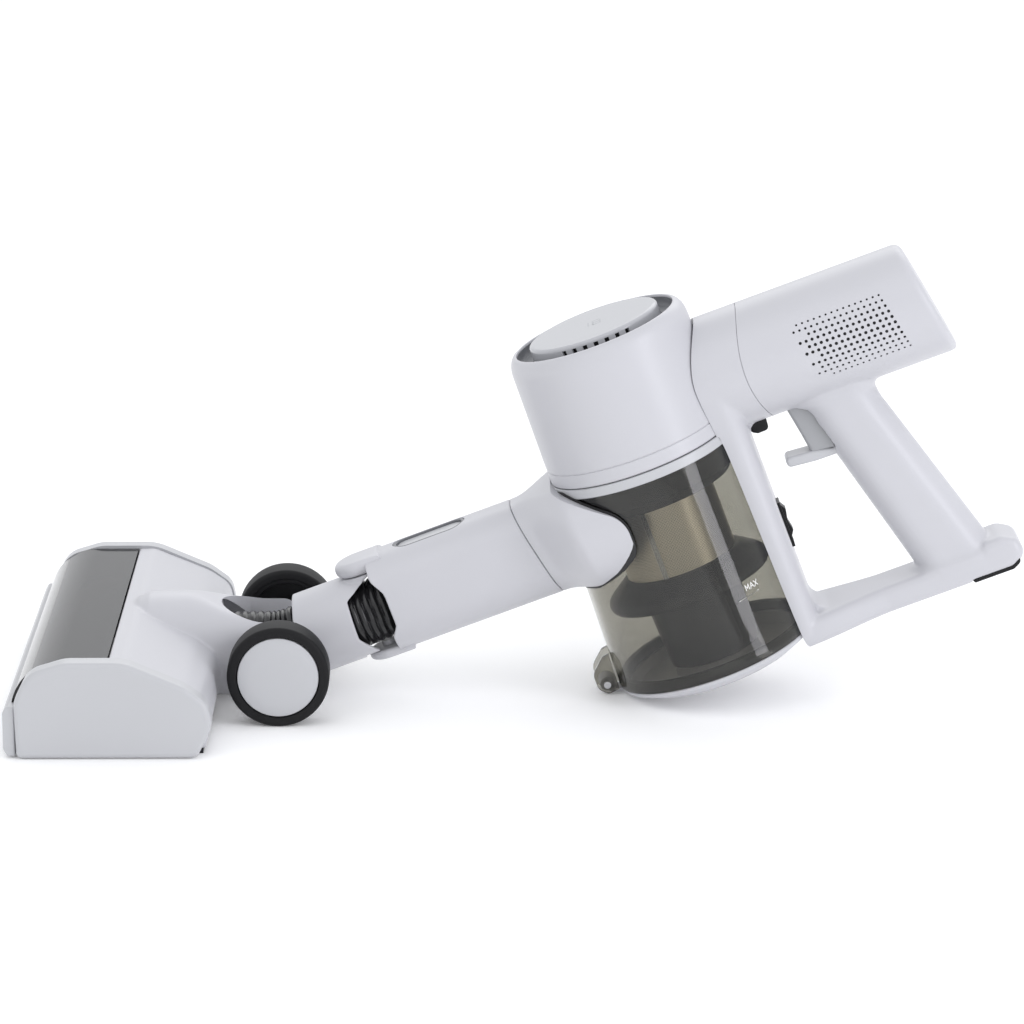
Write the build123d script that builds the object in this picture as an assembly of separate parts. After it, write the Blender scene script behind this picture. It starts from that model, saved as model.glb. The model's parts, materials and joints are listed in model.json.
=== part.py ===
"""Cordless hand vacuum with a powered floor brush, at real size in millimetres.

Frame: +Z up, +X from the brush head to the handle, the object symmetric about the plane Y = 0.
The origin is at the floor, under the middle of the whole object.  The main unit leans back at
LEAN degrees on its cup door, so its pieces are drawn in an upright frame of their own, with the
cup axis as Z, and then placed with BODY.
"""
from build123d import *
from math import asin, cos, degrees, radians, sin
import os

# ---- driving dimensions -------------------------------------------------------------------
LEAN = 20.57                       # tilt of the cup axis from upright
GAP = 0.3                          # running gap between moving covers
WALL = 2.4                         # usual moulded wall

HOUSING_R = 52.4                   # motor housing radius at its foot
FAN_MOTOR_R = 21.0
HOUSING_TOP = 74.6                 # height of the housing's rim above the cup seam
RECESS_R = 45.6                    # ring recess round the display pad
RECESS_FLOOR = 68.0
PAD_R = 37.4
PAD_TOP = 77.4

CUP_TOP_R = 53.2                   # outer radius of the dust cup at the seam
CUP_FOOT_R = 57.2                  # and at its foot
CUP_FOOT = -122.0
CUP_WALL = 2.0
DOOR_R = 56.4
DOOR_FLAT_R = 45.6                 # the flat underside of the door
DOOR_FOOT = -130.3
DOOR_HINGE = (-63.2, -117.5)       # door hinge in the plane Y = 0 of the upright frame

BARREL_AXIS = 27.0                 # height of the barrel's axis above the seam
BARREL_R = 33.0
BARREL_SEAM_R = 76.8               # seam between saddle and barrel, round the cup axis
BARREL_LEAN = 12.0                 # slant of the barrel's rear face
BARREL_END = 180.0                 # where the rear face crosses the barrel's axis

STRUT_BACK = 62.0                  # rear face of the strut behind the cup
STRUT_W = 58.0
ARM_LOW, ARM_HIGH = -132.0, -119.5
ARM_END = 180.0
ARM_W = 36.0
GRIP_TOP = (113.4, -22.0)          # grip axis, from under the barrel to the foot arm
GRIP_FOOT = (143.6, -120.0)
GRIP_DEEP, GRIP_W = 44.6, 33.0

TUBE_AXIS = -30.0                  # connector tube, below the seam
TUBE_W, TUBE_H, TUBE_ROUND = 50.0, 56.6, 21.0
TUBE_SEAM = -72.5                  # where the slanted seam to the duct crosses the tube's axis
TUBE_SEAM_LEAN = 11.7
TUBE_FRONT = -159.5

YAW_U = -169.5                     # yaw axis of the neck, in the upright frame
LUG_R = 13.0
NECK_R = 23.6
NECK_WALL = 2.3
PIN_HOLE = 4.05                    # hole for the neck's pins, 4 mm in radius
HOSE_R = 18.0

WHEEL_R, WHEEL_W, WHEEL_OUT = 28.0, 19.4, 69.0
HUB_R = 22.5
AXLE_X = -134.0                    # wheels and pitch hinge share this line
AXLE_R = 3.0
HEAD_HALF = 127.0
CAP_T = 11.6
ROLLER = (-246.5, 23.0)            # brush roller axis, X and Z
WINDOW_R = 28.2
MOTOR_SPOT = (-198.0, 20.0)        # brush motor axis, X and Z

# the door's flat rim is the main unit's foot: it touches the floor
SEAM_X = 65.24
SEAM_Z = DOOR_FLAT_R * sin(radians(LEAN)) - DOOR_FOOT * cos(radians(LEAN))
BODY = Plane(origin=(SEAM_X, 0, SEAM_Z),
             x_dir=(cos(radians(LEAN)), 0, sin(radians(LEAN))),
             z_dir=(-sin(radians(LEAN)), 0, cos(radians(LEAN))))
AXLE_LOCAL = BODY.to_local_coords(Vector(AXLE_X, 0, WHEEL_R))
NECK_AXIS = AXLE_LOCAL.Z           # the neck tube's axis runs through the axle

parts = {}


# ---- shapes ---------------------------------------------------------------------------------
def turned(points):
    """A solid of revolution about Z from an outline of (radius, height) points."""
    return revolve(Plane.XZ * make_face(Polyline(*points, close=True)), Axis.Z)


def cylinder(radius, low, high):
    return Pos(0, 0, (low + high) / 2) * Cylinder(radius, high - low)


def ring(outer, inner, low, high):
    return cylinder(outer, low, high) - cylinder(inner, low, high)


def rod(radius, x, z, y0, y1):
    """A round bar across the object, parallel to Y."""
    return Pos(x, (y0 + y1) / 2, z) * Rot(90, 0, 0) * Cylinder(radius, y1 - y0)


def bar(radius, z, x0, x1):
    """A round bar along X at height z."""
    return Pos((x0 + x1) / 2, 0, z) * Rot(0, 90, 0) * Cylinder(radius, x1 - x0)


def block(x0, x1, y0, y1, z0, z1):
    return Pos((x0 + x1) / 2, (y0 + y1) / 2, (z0 + z1) / 2) * Box(x1 - x0, y1 - y0, z1 - z0)


def slab(points, y0, y1, rounding=0):
    """An outline of (x, z) points drawn out from y0 to y1."""
    face = make_face(Polyline(*points, close=True))
    if rounding:
        face = fillet(face.vertices(), rounding)
    return extrude(Plane(origin=(0, y1, 0), x_dir=(1, 0, 0), z_dir=(0, -1, 0)) * face, y1 - y0)


def rounded_prism(start, end, wide, deep, rounding):
    """A bar with a rounded section between two (x, z) points; wide is its size along Y."""
    axis = Vector(end[0] - start[0], 0, end[1] - start[1])
    plane = Plane(origin=(start[0], 0, start[1]), x_dir=(0, 1, 0), z_dir=axis)
    return extrude(plane * RectangleRounded(wide, deep, rounding), axis.length)


def mirrored(shape):
    """The shape and its twin across the plane Y = 0, as separate solids."""
    return Compound(children=[*shape.solids(), *mirror(shape, Plane.XZ).solids()])


def cup_radius(height):
    """Outer radius of the dust cup at a height below the seam."""
    return CUP_TOP_R + (CUP_FOOT_R - CUP_TOP_R) * height / CUP_FOOT


def on_body(name, shape):
    """Place a piece that is drawn in the main unit's upright frame."""
    parts[name] = BODY.location * shape


# ---- motor housing --------------------------------------------------------------------------
def motor_housing():
    outline = Polyline((RECESS_R, HOUSING_TOP), (RECESS_R, RECESS_FLOOR), (PAD_R + 0.8, RECESS_FLOOR),
                       (PAD_R + 0.8, RECESS_FLOOR - WALL), (RECESS_R, RECESS_FLOOR - WALL),
                       (HOUSING_R - 3.4, 60), (HOUSING_R - WALL, 0.8), (HOUSING_R, 0.8),
                       (HOUSING_R - 1.1, 63))
    shoulder = ThreePointArc((HOUSING_R - 1.1, 63), (HOUSING_R - 2.5, 71), (RECESS_R, HOUSING_TOP))
    shell = revolve(Plane.XZ * make_face(outline + shoulder), Axis.Z)
    return shell - bar(BARREL_R - 8, BARREL_AXIS, 40, 60)


def display_pad():
    cap = turned([(0, PAD_TOP), (PAD_R - 2.2, PAD_TOP), (PAD_R - 0.6, PAD_TOP - 0.7),
                  (PAD_R, PAD_TOP - 2.2), (PAD_R, 65.7), (PAD_R - 2, 65.7), (PAD_R - 2, PAD_TOP - 2.6),
                  (0, PAD_TOP - 2.6)])
    slot = block(-1, 1, -PAD_R - 2, -PAD_R + 3, 72.2, 75.0)
    for step in range(-3, 4):
        cap -= Rot(0, 0, 9.7 * step) * slot
    return cap


def impeller():
    wheel = cylinder(19, 18.4, 20) + turned([(0, 8), (4, 8), (7, 18.4), (0, 18.4)])
    for step in range(9):
        wheel += Rot(0, 0, 40 * step) * block(3, 18.5, -0.6, 0.6, 9.5, 18.4)
    return wheel + cylinder(1.5, 19, 32)


on_body("motor_housing", motor_housing())
on_body("recess_ring", turned([(RECESS_R - 0.1, 72.8), (RECESS_R - 0.1, RECESS_FLOOR),
                               (PAD_R + 0.8, RECESS_FLOOR), (PAD_R + 0.8, RECESS_FLOOR + 1),
                               (RECESS_R - 1, RECESS_FLOOR + 1), (RECESS_R - 1, 72.8)]))
on_body("display_pad", display_pad())
on_body("display_board", cylinder(34, 71.2, 72.8))
on_body("fan_motor", cylinder(FAN_MOTOR_R, 22, 54) - cylinder(1.56, 20, 34))
on_body("motor_bulkhead", ring(HOUSING_R - 3.4, FAN_MOTOR_R + 0.1, 36, 39.5))
on_body("impeller", impeller())
on_body("housing_base", ring(HOUSING_R - WALL - 0.1, 20.5, 0.9, 3.4))

# ---- dust cup and cyclone ---------------------------------------------------------------------
cup_inlet = Pos(-50, 0, TUBE_AXIS) * Rot(0, 90, 0) * Cylinder(17, 40)
lug_line = [(-54, -101), (-64.5, -106.5), (-68.8, -113), (-68.8, -118.5), (-66, -121.4), (-60, -123),
            (-55.6, -121.9)]
lug = slab(lug_line, 6.2, 10, rounding=1.6)


def cup_shell():
    foot_in = CUP_FOOT_R - CUP_WALL
    wall = turned([(CUP_TOP_R, -0.6), (CUP_FOOT_R, CUP_FOOT), (foot_in, CUP_FOOT),
                   (CUP_TOP_R - CUP_WALL, -0.6)])
    core = turned([(0, 0), (CUP_TOP_R - CUP_WALL, 0), (foot_in, CUP_FOOT), (0, CUP_FOOT - 4)])
    lugs = lug - core - rod(2.05, *DOOR_HINGE, 5, 12)
    return wall - cup_inlet + lugs + mirror(lugs, Plane.XZ)


def bottom_door():
    dish = turned([(0, CUP_FOOT - GAP), (DOOR_R, CUP_FOOT - GAP), (DOOR_R, -124.6), (DOOR_FLAT_R, DOOR_FOOT),
                   (0, DOOR_FOOT)])
    dish -= cylinder(DOOR_FLAT_R, DOOR_FOOT + 2.4, CUP_FOOT)
    dish += cylinder(24, DOOR_FOOT + 2, CUP_FOOT - GAP)
    web_line = [(-66.5, -119), (-60, -123.6), (-53, -125.6), (-50, -122.4), (-59, -122.4), (-60, -118)]
    web = slab(web_line, -5.8, 5.8)
    return dish + web + rod(4, *DOOR_HINGE, -5.8, 5.8) - rod(2.05, *DOOR_HINGE, -7, 7)


on_body("cup_shell", cup_shell())
on_body("cyclone_cap", turned([(50.9, -4.6), (50.9, -17.4), (44, -17.4), (44, -23.4), (13, -23.4), (13, -15),
                               (40.5, -15), (40.5, -4.6)]))
on_body("filter", ring(40, 15, -14.8, -1.2))
on_body("steel_mesh", ring(31.6, 30.9, -66, -23.4))
on_body("shroud_skirt", turned([(30.8, -66), (32.4, -66), (46.2, -75.4), (46.6, -78.4), (45, -80.4),
                                (27.2, -80.4), (27.2, -78.4), (42, -78.2), (43.8, -76.6)]))
on_body("dust_tube", turned([(27.1, -80.4), (25.8, -121.8), (23.8, -121.8), (25.1, -80.4)]))
on_body("bottom_door", bottom_door())
on_body("door_seal", ring(53.6, 51.0, -122.2, -117.2))
on_body("door_pin", rod(2.0, *DOOR_HINGE, -10.4, 10.4))

# ---- inlet duct and connector tube --------------------------------------------------------------
tube_seam = Plane(origin=(TUBE_SEAM, 0, TUBE_AXIS), x_dir=(0, 1, 0),
                  z_dir=(-cos(radians(TUBE_SEAM_LEAN)), 0, -sin(radians(TUBE_SEAM_LEAN))))


def across(x, z, wide, high, rounding):
    """A rounded section square to the tube."""
    return Plane(origin=(x, 0, z), x_dir=(0, 1, 0), z_dir=(1, 0, 0)) * RectangleRounded(wide, high, rounding)


def inlet_duct():
    outer = loft([across(-84, TUBE_AXIS, TUBE_W, TUBE_H, TUBE_ROUND), across(-66, -29.4, 60, 57.6, 24),
                  across(-56, -28.6, 82, 59, 26), across(-46, -28, 98, 60, 27),
                  across(-17.5, -28, 104, 60, 27)], ruled=True)
    inner = loft([across(-86, TUBE_AXIS, 44, 50, 18), across(-62, TUBE_AXIS, 44, 44, 18),
                  across(-18, TUBE_AXIS, 36, 36, 17)], ruled=True)
    cup_side = turned([(0, 40), (HOUSING_R + GAP, 40), (HOUSING_R + GAP, -0.3), (CUP_TOP_R + 0.05, -0.3),
                       (CUP_FOOT_R + 0.05, CUP_FOOT), (0, CUP_FOOT)])
    duct = outer - inner - cup_side - block(-18, 60, -60, 60, -90, 40)
    return split(duct, bisect_by=tube_seam, keep=Keep.BOTTOM)


def tube_section(x0, x1, shrink=0):
    return rounded_prism((x0, TUBE_AXIS), (x1, TUBE_AXIS), TUBE_W - 2 * shrink, TUBE_H - 2 * shrink,
                         TUBE_ROUND - shrink)


# the side openings that let the neck swing: the hose shows through them
tube_notch = [(-200, -60), (-171, -60), (-166, -47), (-160.5, -40), (-159.5, -20), (-166.5, -6), (-200, -6)]
lug_top, lug_low = TUBE_AXIS + TUBE_H / 2, TUBE_AXIS - TUBE_H / 2
NECK_TOP, NECK_FLAT = -9.6, -53.6
BUTTON_U0, BUTTON_U1 = -147.0, -106.0


def button_slot(grow, low, high):
    return extrude(Pos((BUTTON_U0 + BUTTON_U1) / 2, 0, low)
                   * SlotOverall(BUTTON_U1 - BUTTON_U0 + 2 * grow, 15 + 2 * grow), high - low)


def connector_tube():
    tube = tube_section(-182, -60) - tube_section(-183, -59, WALL)
    tube = split(tube, bisect_by=tube_seam, keep=Keep.TOP)
    tube -= block(-190, TUBE_FRONT, -40, 40, -80, 20)
    return tube - button_slot(0, lug_top - 6, lug_top + 2)


def yaw_lug(low, high):
    """A tongue on the tube's front face, round about the yaw pin."""
    reach = TUBE_FRONT - YAW_U
    tongue = cylinder(LUG_R, low, high) + block(0, reach, -LUG_R, LUG_R, low, high)
    tongue -= block(reach, 2 * LUG_R, -LUG_R - 1, LUG_R + 1, low, high)
    tongue -= cylinder(PIN_HOLE, low - 1, high + 1)
    return Pos(YAW_U, 0, 0) * tongue


on_body("inlet_duct", inlet_duct())
on_body("connector_tube", connector_tube())
on_body("button_bezel", button_slot(0, lug_top - 4, lug_top - 0.2) - button_slot(-1.4, lug_top - 5, lug_top))
on_body("tube_button", button_slot(-1.8, lug_top - 3.6, lug_top - 1.2))
on_body("yaw_lugs", Compound(children=[*yaw_lug(NECK_TOP + GAP, lug_top + 0.4).solids(),
                                       *yaw_lug(lug_low - 0.4, NECK_FLAT - GAP).solids()]))
on_body("yaw_pins", Compound(children=[(Pos(YAW_U, 0, 0) * cylinder(4, NECK_TOP - 2.2, lug_top)).solid(),
                                       (Pos(YAW_U, 0, 0) * cylinder(4, lug_low, NECK_FLAT + 2.2)).solid()]))

# ---- barrel and handle ----------------------------------------------------------------------------
seam_drum = cylinder(BARREL_SEAM_R, -40, 90)
housing_drum = turned([(0, -60), (cup_radius(-60) + 0.2, -60), (CUP_TOP_R + 0.2, -0.4),
                       (HOUSING_R + 0.1, -0.3), (HOUSING_R + 0.1, 90), (0, 90)])
barrel_back = Plane(origin=(BARREL_END, 0, BARREL_AXIS), x_dir=(0, 1, 0),
                    z_dir=(cos(radians(BARREL_LEAN)), 0, sin(radians(BARREL_LEAN))))
TRIGGER_PIVOT = (95.5, -10.5)
trigger_slot = block(78, 111.2, -8.6, 8.6, -32.2, 4)
finger_rest = slab([(75, -32.8), (82, -33.6), (98, -34.2), (98, -38.5), (88, -38.2), (76, -34)], -8, 8)


def barrel(shrink=0):
    solid = bar(BARREL_R - shrink, BARREL_AXIS, 30, 200)
    solid = split(solid, bisect_by=barrel_back.offset(-shrink), keep=Keep.BOTTOM)
    return fillet(solid.edges().sort_by(Axis.X)[-1], 6 - shrink)


def handle_solid():
    strut = fillet(block(30, STRUT_BACK, -STRUT_W / 2, STRUT_W / 2, ARM_LOW, 8).edges().filter_by(Axis.Z)
                   .group_by(Axis.X)[-1], 11)
    arm = rounded_prism((48, (ARM_LOW + ARM_HIGH) / 2), (ARM_END - 3, (ARM_LOW + ARM_HIGH) / 2), ARM_W,
                        ARM_HIGH - ARM_LOW, 5.5)
    foot = fillet(slab([(146, -132), (176, -132), (180, -127), (178, -115), (171, -109), (146, -109)],
                       -ARM_W / 2, ARM_W / 2).edges().filter_by(Axis.Y), 3)
    grip = rounded_prism(GRIP_TOP, GRIP_FOOT, GRIP_W, GRIP_DEEP, 15.5)
    knuckle = rounded_prism((111, 0), GRIP_TOP, GRIP_W, GRIP_DEEP + 6, 15.5)
    cup_room = turned([(0, 60), (CUP_TOP_R + GAP, 60), (CUP_TOP_R + GAP, 0), (CUP_FOOT_R + GAP, CUP_FOOT),
                       (CUP_FOOT_R + GAP, -140), (0, -140)])
    barrel_room = bar(BARREL_R + 0.05, BARREL_AXIS, 30, 200)
    return strut + arm + foot + grip + knuckle - cup_room - barrel_room


def handle_shell():
    cavity = rounded_prism((109, -6), (GRIP_FOOT[0] - 4, -107), GRIP_W - 7, GRIP_DEEP - 7, 12)
    wire_way = block(70, 150, -12, 12, ARM_LOW + 3, ARM_HIGH - 3)
    shell = handle_solid() - cavity - wire_way - trigger_slot - finger_rest
    shell -= rod(1.5, *TRIGGER_PIVOT, -10.5, 10.5)
    shell -= block(STRUT_BACK - 2.2, STRUT_BACK + 1, -6.2, 6.2, -80, -53)
    return shell - block(140, 170, -9, 9, ARM_LOW - 1, ARM_LOW + 1.2)


shell = handle_shell()
on_body("handle_left", split(shell, bisect_by=Plane.XZ, keep=Keep.TOP))
on_body("handle_right", split(shell, bisect_by=Plane.XZ, keep=Keep.BOTTOM))
barrel_wall = barrel() - barrel(shrink=WALL)
on_body("barrel_saddle", (barrel_wall & seam_drum) - housing_drum - block(40, 80, -5, 5, -12, 0))
on_body("barrel_shell", barrel_wall - cylinder(BARREL_SEAM_R + 0.1, -40, 90) - trigger_slot)
on_body("battery_cells", Compound(children=[
    bar(9.1, 0, 92, 157).moved(Pos(0, 19.2 * sin(radians(60 * k)) * (k > 0), BARREL_AXIS
                                   + 19.2 * cos(radians(60 * k)) * (k > 0))).solid() for k in range(7)]))
on_body("control_board", rounded_prism((121, -24), (139, -84), 20, 1.6, 0.4))
on_body("charge_contacts", block(141, 169, -8.8, 8.8, ARM_LOW - 0.6, ARM_LOW + 1))
on_body("finger_rest", finger_rest)
on_body("slider_bezel", block(STRUT_BACK - 2.1, STRUT_BACK + 0.4, -6, 6, -79.8, -53.2)
        - block(STRUT_BACK - 3, STRUT_BACK + 1, -4.4, 4.4, -78.2, -54.8))
on_body("release_slider", block(STRUT_BACK - 1.8, STRUT_BACK + 1.8, -4.1, 4.1, -74.5, -55.2))

on_body("trigger", slab([(84.2, -6.6), (88.4, -18), (87.6, -31), (96, -31.4), (99, -20), (99.4, -6.6)],
                        -8, 8, rounding=1.2) - rod(1.56, *TRIGGER_PIVOT, -9, 9))
on_body("trigger_pin", rod(1.5, *TRIGGER_PIVOT, -10.5, 10.5))
on_body("trigger_spring", Pos(104.8, 0, -25) * Rot(0, 90, 0) * (Cylinder(2.8, 12.6) - Cylinder(2.0, 13)))
on_body("mode_button", fillet(block(62.6, 73.4, -4.6, 4.6, -13.2, -2.5).edges().filter_by(Axis.Y), 2.2))


# ---- neck --------------------------------------------------------------------------------------------
def neck_tube():
    """Drawn in the main unit's frame: ears on the axle at one end, the yaw bosses at the other."""
    tube = bar(NECK_R, NECK_AXIS, AXLE_LOCAL.X, YAW_U + 9)
    tube += Pos(AXLE_LOCAL.X, 0, NECK_AXIS) * Sphere(NECK_R)
    boss = Pos(YAW_U, 0, 0) * cylinder(LUG_R - 1, NECK_FLAT, NECK_TOP)
    tube = tube + boss - bar(NECK_R - NECK_WALL, NECK_AXIS, -260, -140)
    tube -= block(YAW_U - LUG_R - 1, -140, -30, 30, -80, NECK_FLAT)
    tube -= block(YAW_U - LUG_R - 1, -140, -30, 30, NECK_TOP, 20)
    # side notches beside the yaw axis, and the slanted mouth over the hose
    tube -= slab([(-120, -11), (-166, -11), (-181, -19), (-182, -41), (-174, -53.6), (-120, -53.6)], -40, 40)
    tube -= slab([(-260, 10), (-206, 10), (-214, -22), (-260, -22)], -40, 40)
    tube -= rod(PIN_HOLE, AXLE_LOCAL.X, NECK_AXIS, -40, 40)
    return tube - Pos(YAW_U, 0, 0) * cylinder(PIN_HOLE, -70, 10)


on_body("neck_tube", neck_tube())


def hose_leg(z, x0, x1):
    return bar(HOSE_R, z, x0, x1) - bar(HOSE_R - 2, z, x0 - 1, x1 + 1)


# the hose bends at the axle, where its two legs meet on the plane that halves the bend
hose_bend = Plane(origin=(AXLE_X, 0, WHEEL_R), x_dir=(0, 1, 0),
                  z_dir=(cos(radians(LEAN / 2)), 0, sin(radians(LEAN / 2))))
parts["hose_rear"] = split(BODY.location * hose_leg(NECK_AXIS, AXLE_LOCAL.X - 8, -150), bisect_by=hose_bend,
                           keep=Keep.TOP)

# ---- brush head -----------------------------------------------------------------------------------------
head_line = [(-271.4, 2.6), (-271.4, 30), (-264, 43), (-246, 52), (-213.4, 52.3), (-181.3, 38.7),
             (-170.1, 29.5), (-167.8, 19.1), (-172, 2.6)]
cap_line = [(-271.4, 0), (-272, 30.4), (-264.5, 44), (-246, 52.6), (-213, 52.9), (-181, 39.2),
            (-169.5, 30), (-167.2, 19), (-178, 0)]
inside = CAP_T + GAP


def head_shell():
    half = HEAD_HALF - CAP_T
    outer = slab(head_line, -half, half)
    inner = slab([(-300, 0), (-300, 60), (-222.6, 60), (-222.6, 49.8), (-214, 49.9), (-183, 36.8),
                  (-172.6, 28.2), (-170.5, 19), (-174, 0)], -half + 2, half - 2)
    wall = slab([(-222.6, 2.6), (-222.6, 50.5), (-220.4, 50.5), (-220.4, 2.6)], -half, half)
    front = block(-300, -222.6, -140, 140, -5, 60)
    cowl_room = block(-192, -160, -28.1, 28.1, -5, 80)
    belt_way = block(-226, -218, 99, 109.6, 8, 37)
    shell = outer - inner - front + wall - bar(HOSE_R + 0.2, WHEEL_R, -230, -160)
    return shell - belt_way - cowl_room - neck_cowl()


def head_window():
    x, z = ROLLER[0], ROLLER[1] + 0.5
    half = HEAD_HALF - inside
    def dome(radius):
        return (rod(radius, x, z, -half, half)
                + slab([(x, z), (x, z + radius), (-222.8, z + radius), (-222.8, z)], -half, half))
    glass = dome(WINDOW_R) - dome(WINDOW_R - 2)
    return glass - block(-300, -200, -140, 140, -20, 28.8) - block(-222.8, -200, -140, 140, -20, 60)


def sole_plate():
    half = HEAD_HALF - inside
    sole = block(-271, -172.2, -half, half, 0, 2.4)
    sole -= block(-264, -229, -half + 8, half - 8, -1, 4)
    return sole - block(-192, -160, -28.1, 28.1, -5, 80)


def neck_cowl():
    """A trough with domed front that carries the axle and covers the hose."""
    low, high, half = 0.8, 50.0, 28.0
    trough = slab([(-200, low), (-126, low), (-119, 16), (-119, 28), (-126, high), (-200, high)], -half, half)
    trough = fillet(trough.edges().filter_by(Axis.Y).sort_by(Axis.X)[-3:], 4)
    dome = Pos(-192, 0, WHEEL_R) * Rot(0, 90, 0) * Cylinder(29.5, 44) & block(-214, -168, -40, 40, low, 60)
    room = bar(24.4, WHEEL_R, -168, -100) + block(-168, -100, -24.4, 24.4, WHEEL_R, 80)
    throat = bar(HOSE_R + 0.2, WHEEL_R, -230, -160)
    bosses = mirrored(rod(9, AXLE_X, WHEEL_R, half - 0.5, WHEEL_OUT - WHEEL_W - 0.6))
    cowl = trough - block(-201, -191.8, -60, 60, -5, 80) + bosses
    cowl = cowl + (dome - block(-230, -191.8, -60, 60, -5, 80))
    pin_holes = rod(PIN_HOLE, AXLE_X, WHEEL_R, -half, half) + rod(AXLE_R, AXLE_X, WHEEL_R, -80, 80)
    return cowl - room - throat - pin_holes


def stub_axle():
    return rod(AXLE_R, AXLE_X, WHEEL_R, 30, WHEEL_OUT - 4)


parts["head_shell"] = head_shell()
parts["head_window"] = head_window()
parts["end_cap_left"] = slab(cap_line, HEAD_HALF - CAP_T, HEAD_HALF)
parts["end_cap_right"] = slab(cap_line, -HEAD_HALF, -HEAD_HALF + CAP_T)
parts["front_bumper"] = block(-278.7, -272.05, -HEAD_HALF + 3, HEAD_HALF - 3, 1.2, 28.6)
parts["sole_plate"] = sole_plate()
parts["neck_cowl"] = neck_cowl()
parts["wheel_axles"] = mirrored(stub_axle())
parts["pitch_pins"] = mirrored(rod(4, AXLE_X, WHEEL_R, 19.8, 28.0))
parts["hose_front"] = split(hose_leg(WHEEL_R, -219, AXLE_X + 8), bisect_by=hose_bend, keep=Keep.BOTTOM)
parts["brush_motor"] = rod(15, *MOTOR_SPOT, 34, 92)
parts["roller_bearings"] = mirrored(rod(7, *ROLLER, 112, 115.2) - rod(3.04, *ROLLER, 100, 120))

BELT_Y = (101.5, 107.5)
PULLEY_R, ROLLER_PULLEY_R = 5.0, 11.0


def belt():
    """An open loop round the motor pulley and the roller's own pulley."""
    reach = Vector(MOTOR_SPOT[0] - ROLLER[0], 0, MOTOR_SPOT[1] - ROLLER[1])
    lean = degrees(asin((ROLLER_PULLEY_R - PULLEY_R) / reach.length))
    def loop(grow):
        big = rod(ROLLER_PULLEY_R + grow, *ROLLER, *BELT_Y)
        small = rod(PULLEY_R + grow, *MOTOR_SPOT, *BELT_Y)
        return big + small + slab(tangent_points(grow, lean), *BELT_Y)
    return loop(1.5) - loop(0.2)


def tangent_points(grow, lean):
    base = degrees(asin((MOTOR_SPOT[1] - ROLLER[1]) / abs(MOTOR_SPOT[0] - ROLLER[0])))
    points = []
    for side in (1, -1):
        angle = radians(base + side * (90 - lean))
        for (x, z), radius in ((ROLLER, ROLLER_PULLEY_R + grow), (MOTOR_SPOT, PULLEY_R + grow)):
            points.append((x + radius * cos(angle), z + radius * sin(angle)))
    return [points[0], points[1], points[3], points[2]]


def brush_roller():
    core = rod(12, *ROLLER, -110, 100) + rod(ROLLER_PULLEY_R, *ROLLER, 100, 109)
    return core + rod(3, *ROLLER, -115, 115)


def brush_tufts():
    """Two helical rows of tufts round the roller."""
    rows, steps, pitch = 2, 26, 7.6
    tufts = []
    for row in range(rows):
        for k in range(steps):
            turn = row * 180 + k * 9.0
            tuft = Pos(0, -104 + 4 + k * pitch, 0) * block(-1.6, 1.6, 0, pitch - 0.6, 12.05, 21.4)
            tufts.append((Pos(ROLLER[0], 0, ROLLER[1]) * Rot(0, turn, 0) * tuft).solid())
    return Compound(children=tufts)


parts["drive_belt"] = belt()
parts["brush_roller"] = brush_roller()
parts["brush_tufts"] = brush_tufts()
parts["motor_pulley"] = rod(PULLEY_R, *MOTOR_SPOT, 100, 109) + rod(2, *MOTOR_SPOT, 92.4, 101)

# ---- wheels ---------------------------------------------------------------------------------
wheel_in = WHEEL_OUT - WHEEL_W
tyre = fillet((rod(WHEEL_R, AXLE_X, WHEEL_R, wheel_in, WHEEL_OUT) - rod(HUB_R, AXLE_X, WHEEL_R, 0, 80))
              .edges().filter_by(GeomType.CIRCLE).sort_by(lambda e: e.radius)[-2:], 2.2)
axle_hole = rod(AXLE_R + 0.05, AXLE_X, WHEEL_R, 40, WHEEL_OUT - 3.4)
hub = rod(HUB_R - 0.1, AXLE_X, WHEEL_R, wheel_in + 1, WHEEL_OUT - 0.4) - axle_hole
for side, sign in (("left", 1), ("right", -1)):
    parts["tyre_" + side] = tyre if sign > 0 else mirror(tyre, Plane.XZ)
    parts["hub_" + side] = hub if sign > 0 else mirror(hub, Plane.XZ)

os.makedirs("parts", exist_ok=True)
for name, shape in parts.items():
    export_step(shape, f"parts/{name}.step")
print(len(parts), "nodes; cup seam at", round(SEAM_X, 2), round(SEAM_Z, 2),
      "neck axis", round(NECK_AXIS, 2), "axle u", round(AXLE_LOCAL.X, 2))
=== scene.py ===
"""Looks of a cordless hand vacuum with a powered floor brush.

Pieces of the main unit are drawn in its upright frame, where Z is the dust cup's axis, the seam between
cup and motor housing is at zero and +X points to the handle.  Pieces of the brush head are drawn in the
row's own frame.  Both are in millimetres and are placed by UPRIGHT and LEVEL.
"""
import bmesh
import bpy
import json
import math
from mathutils import Matrix, Vector

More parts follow.
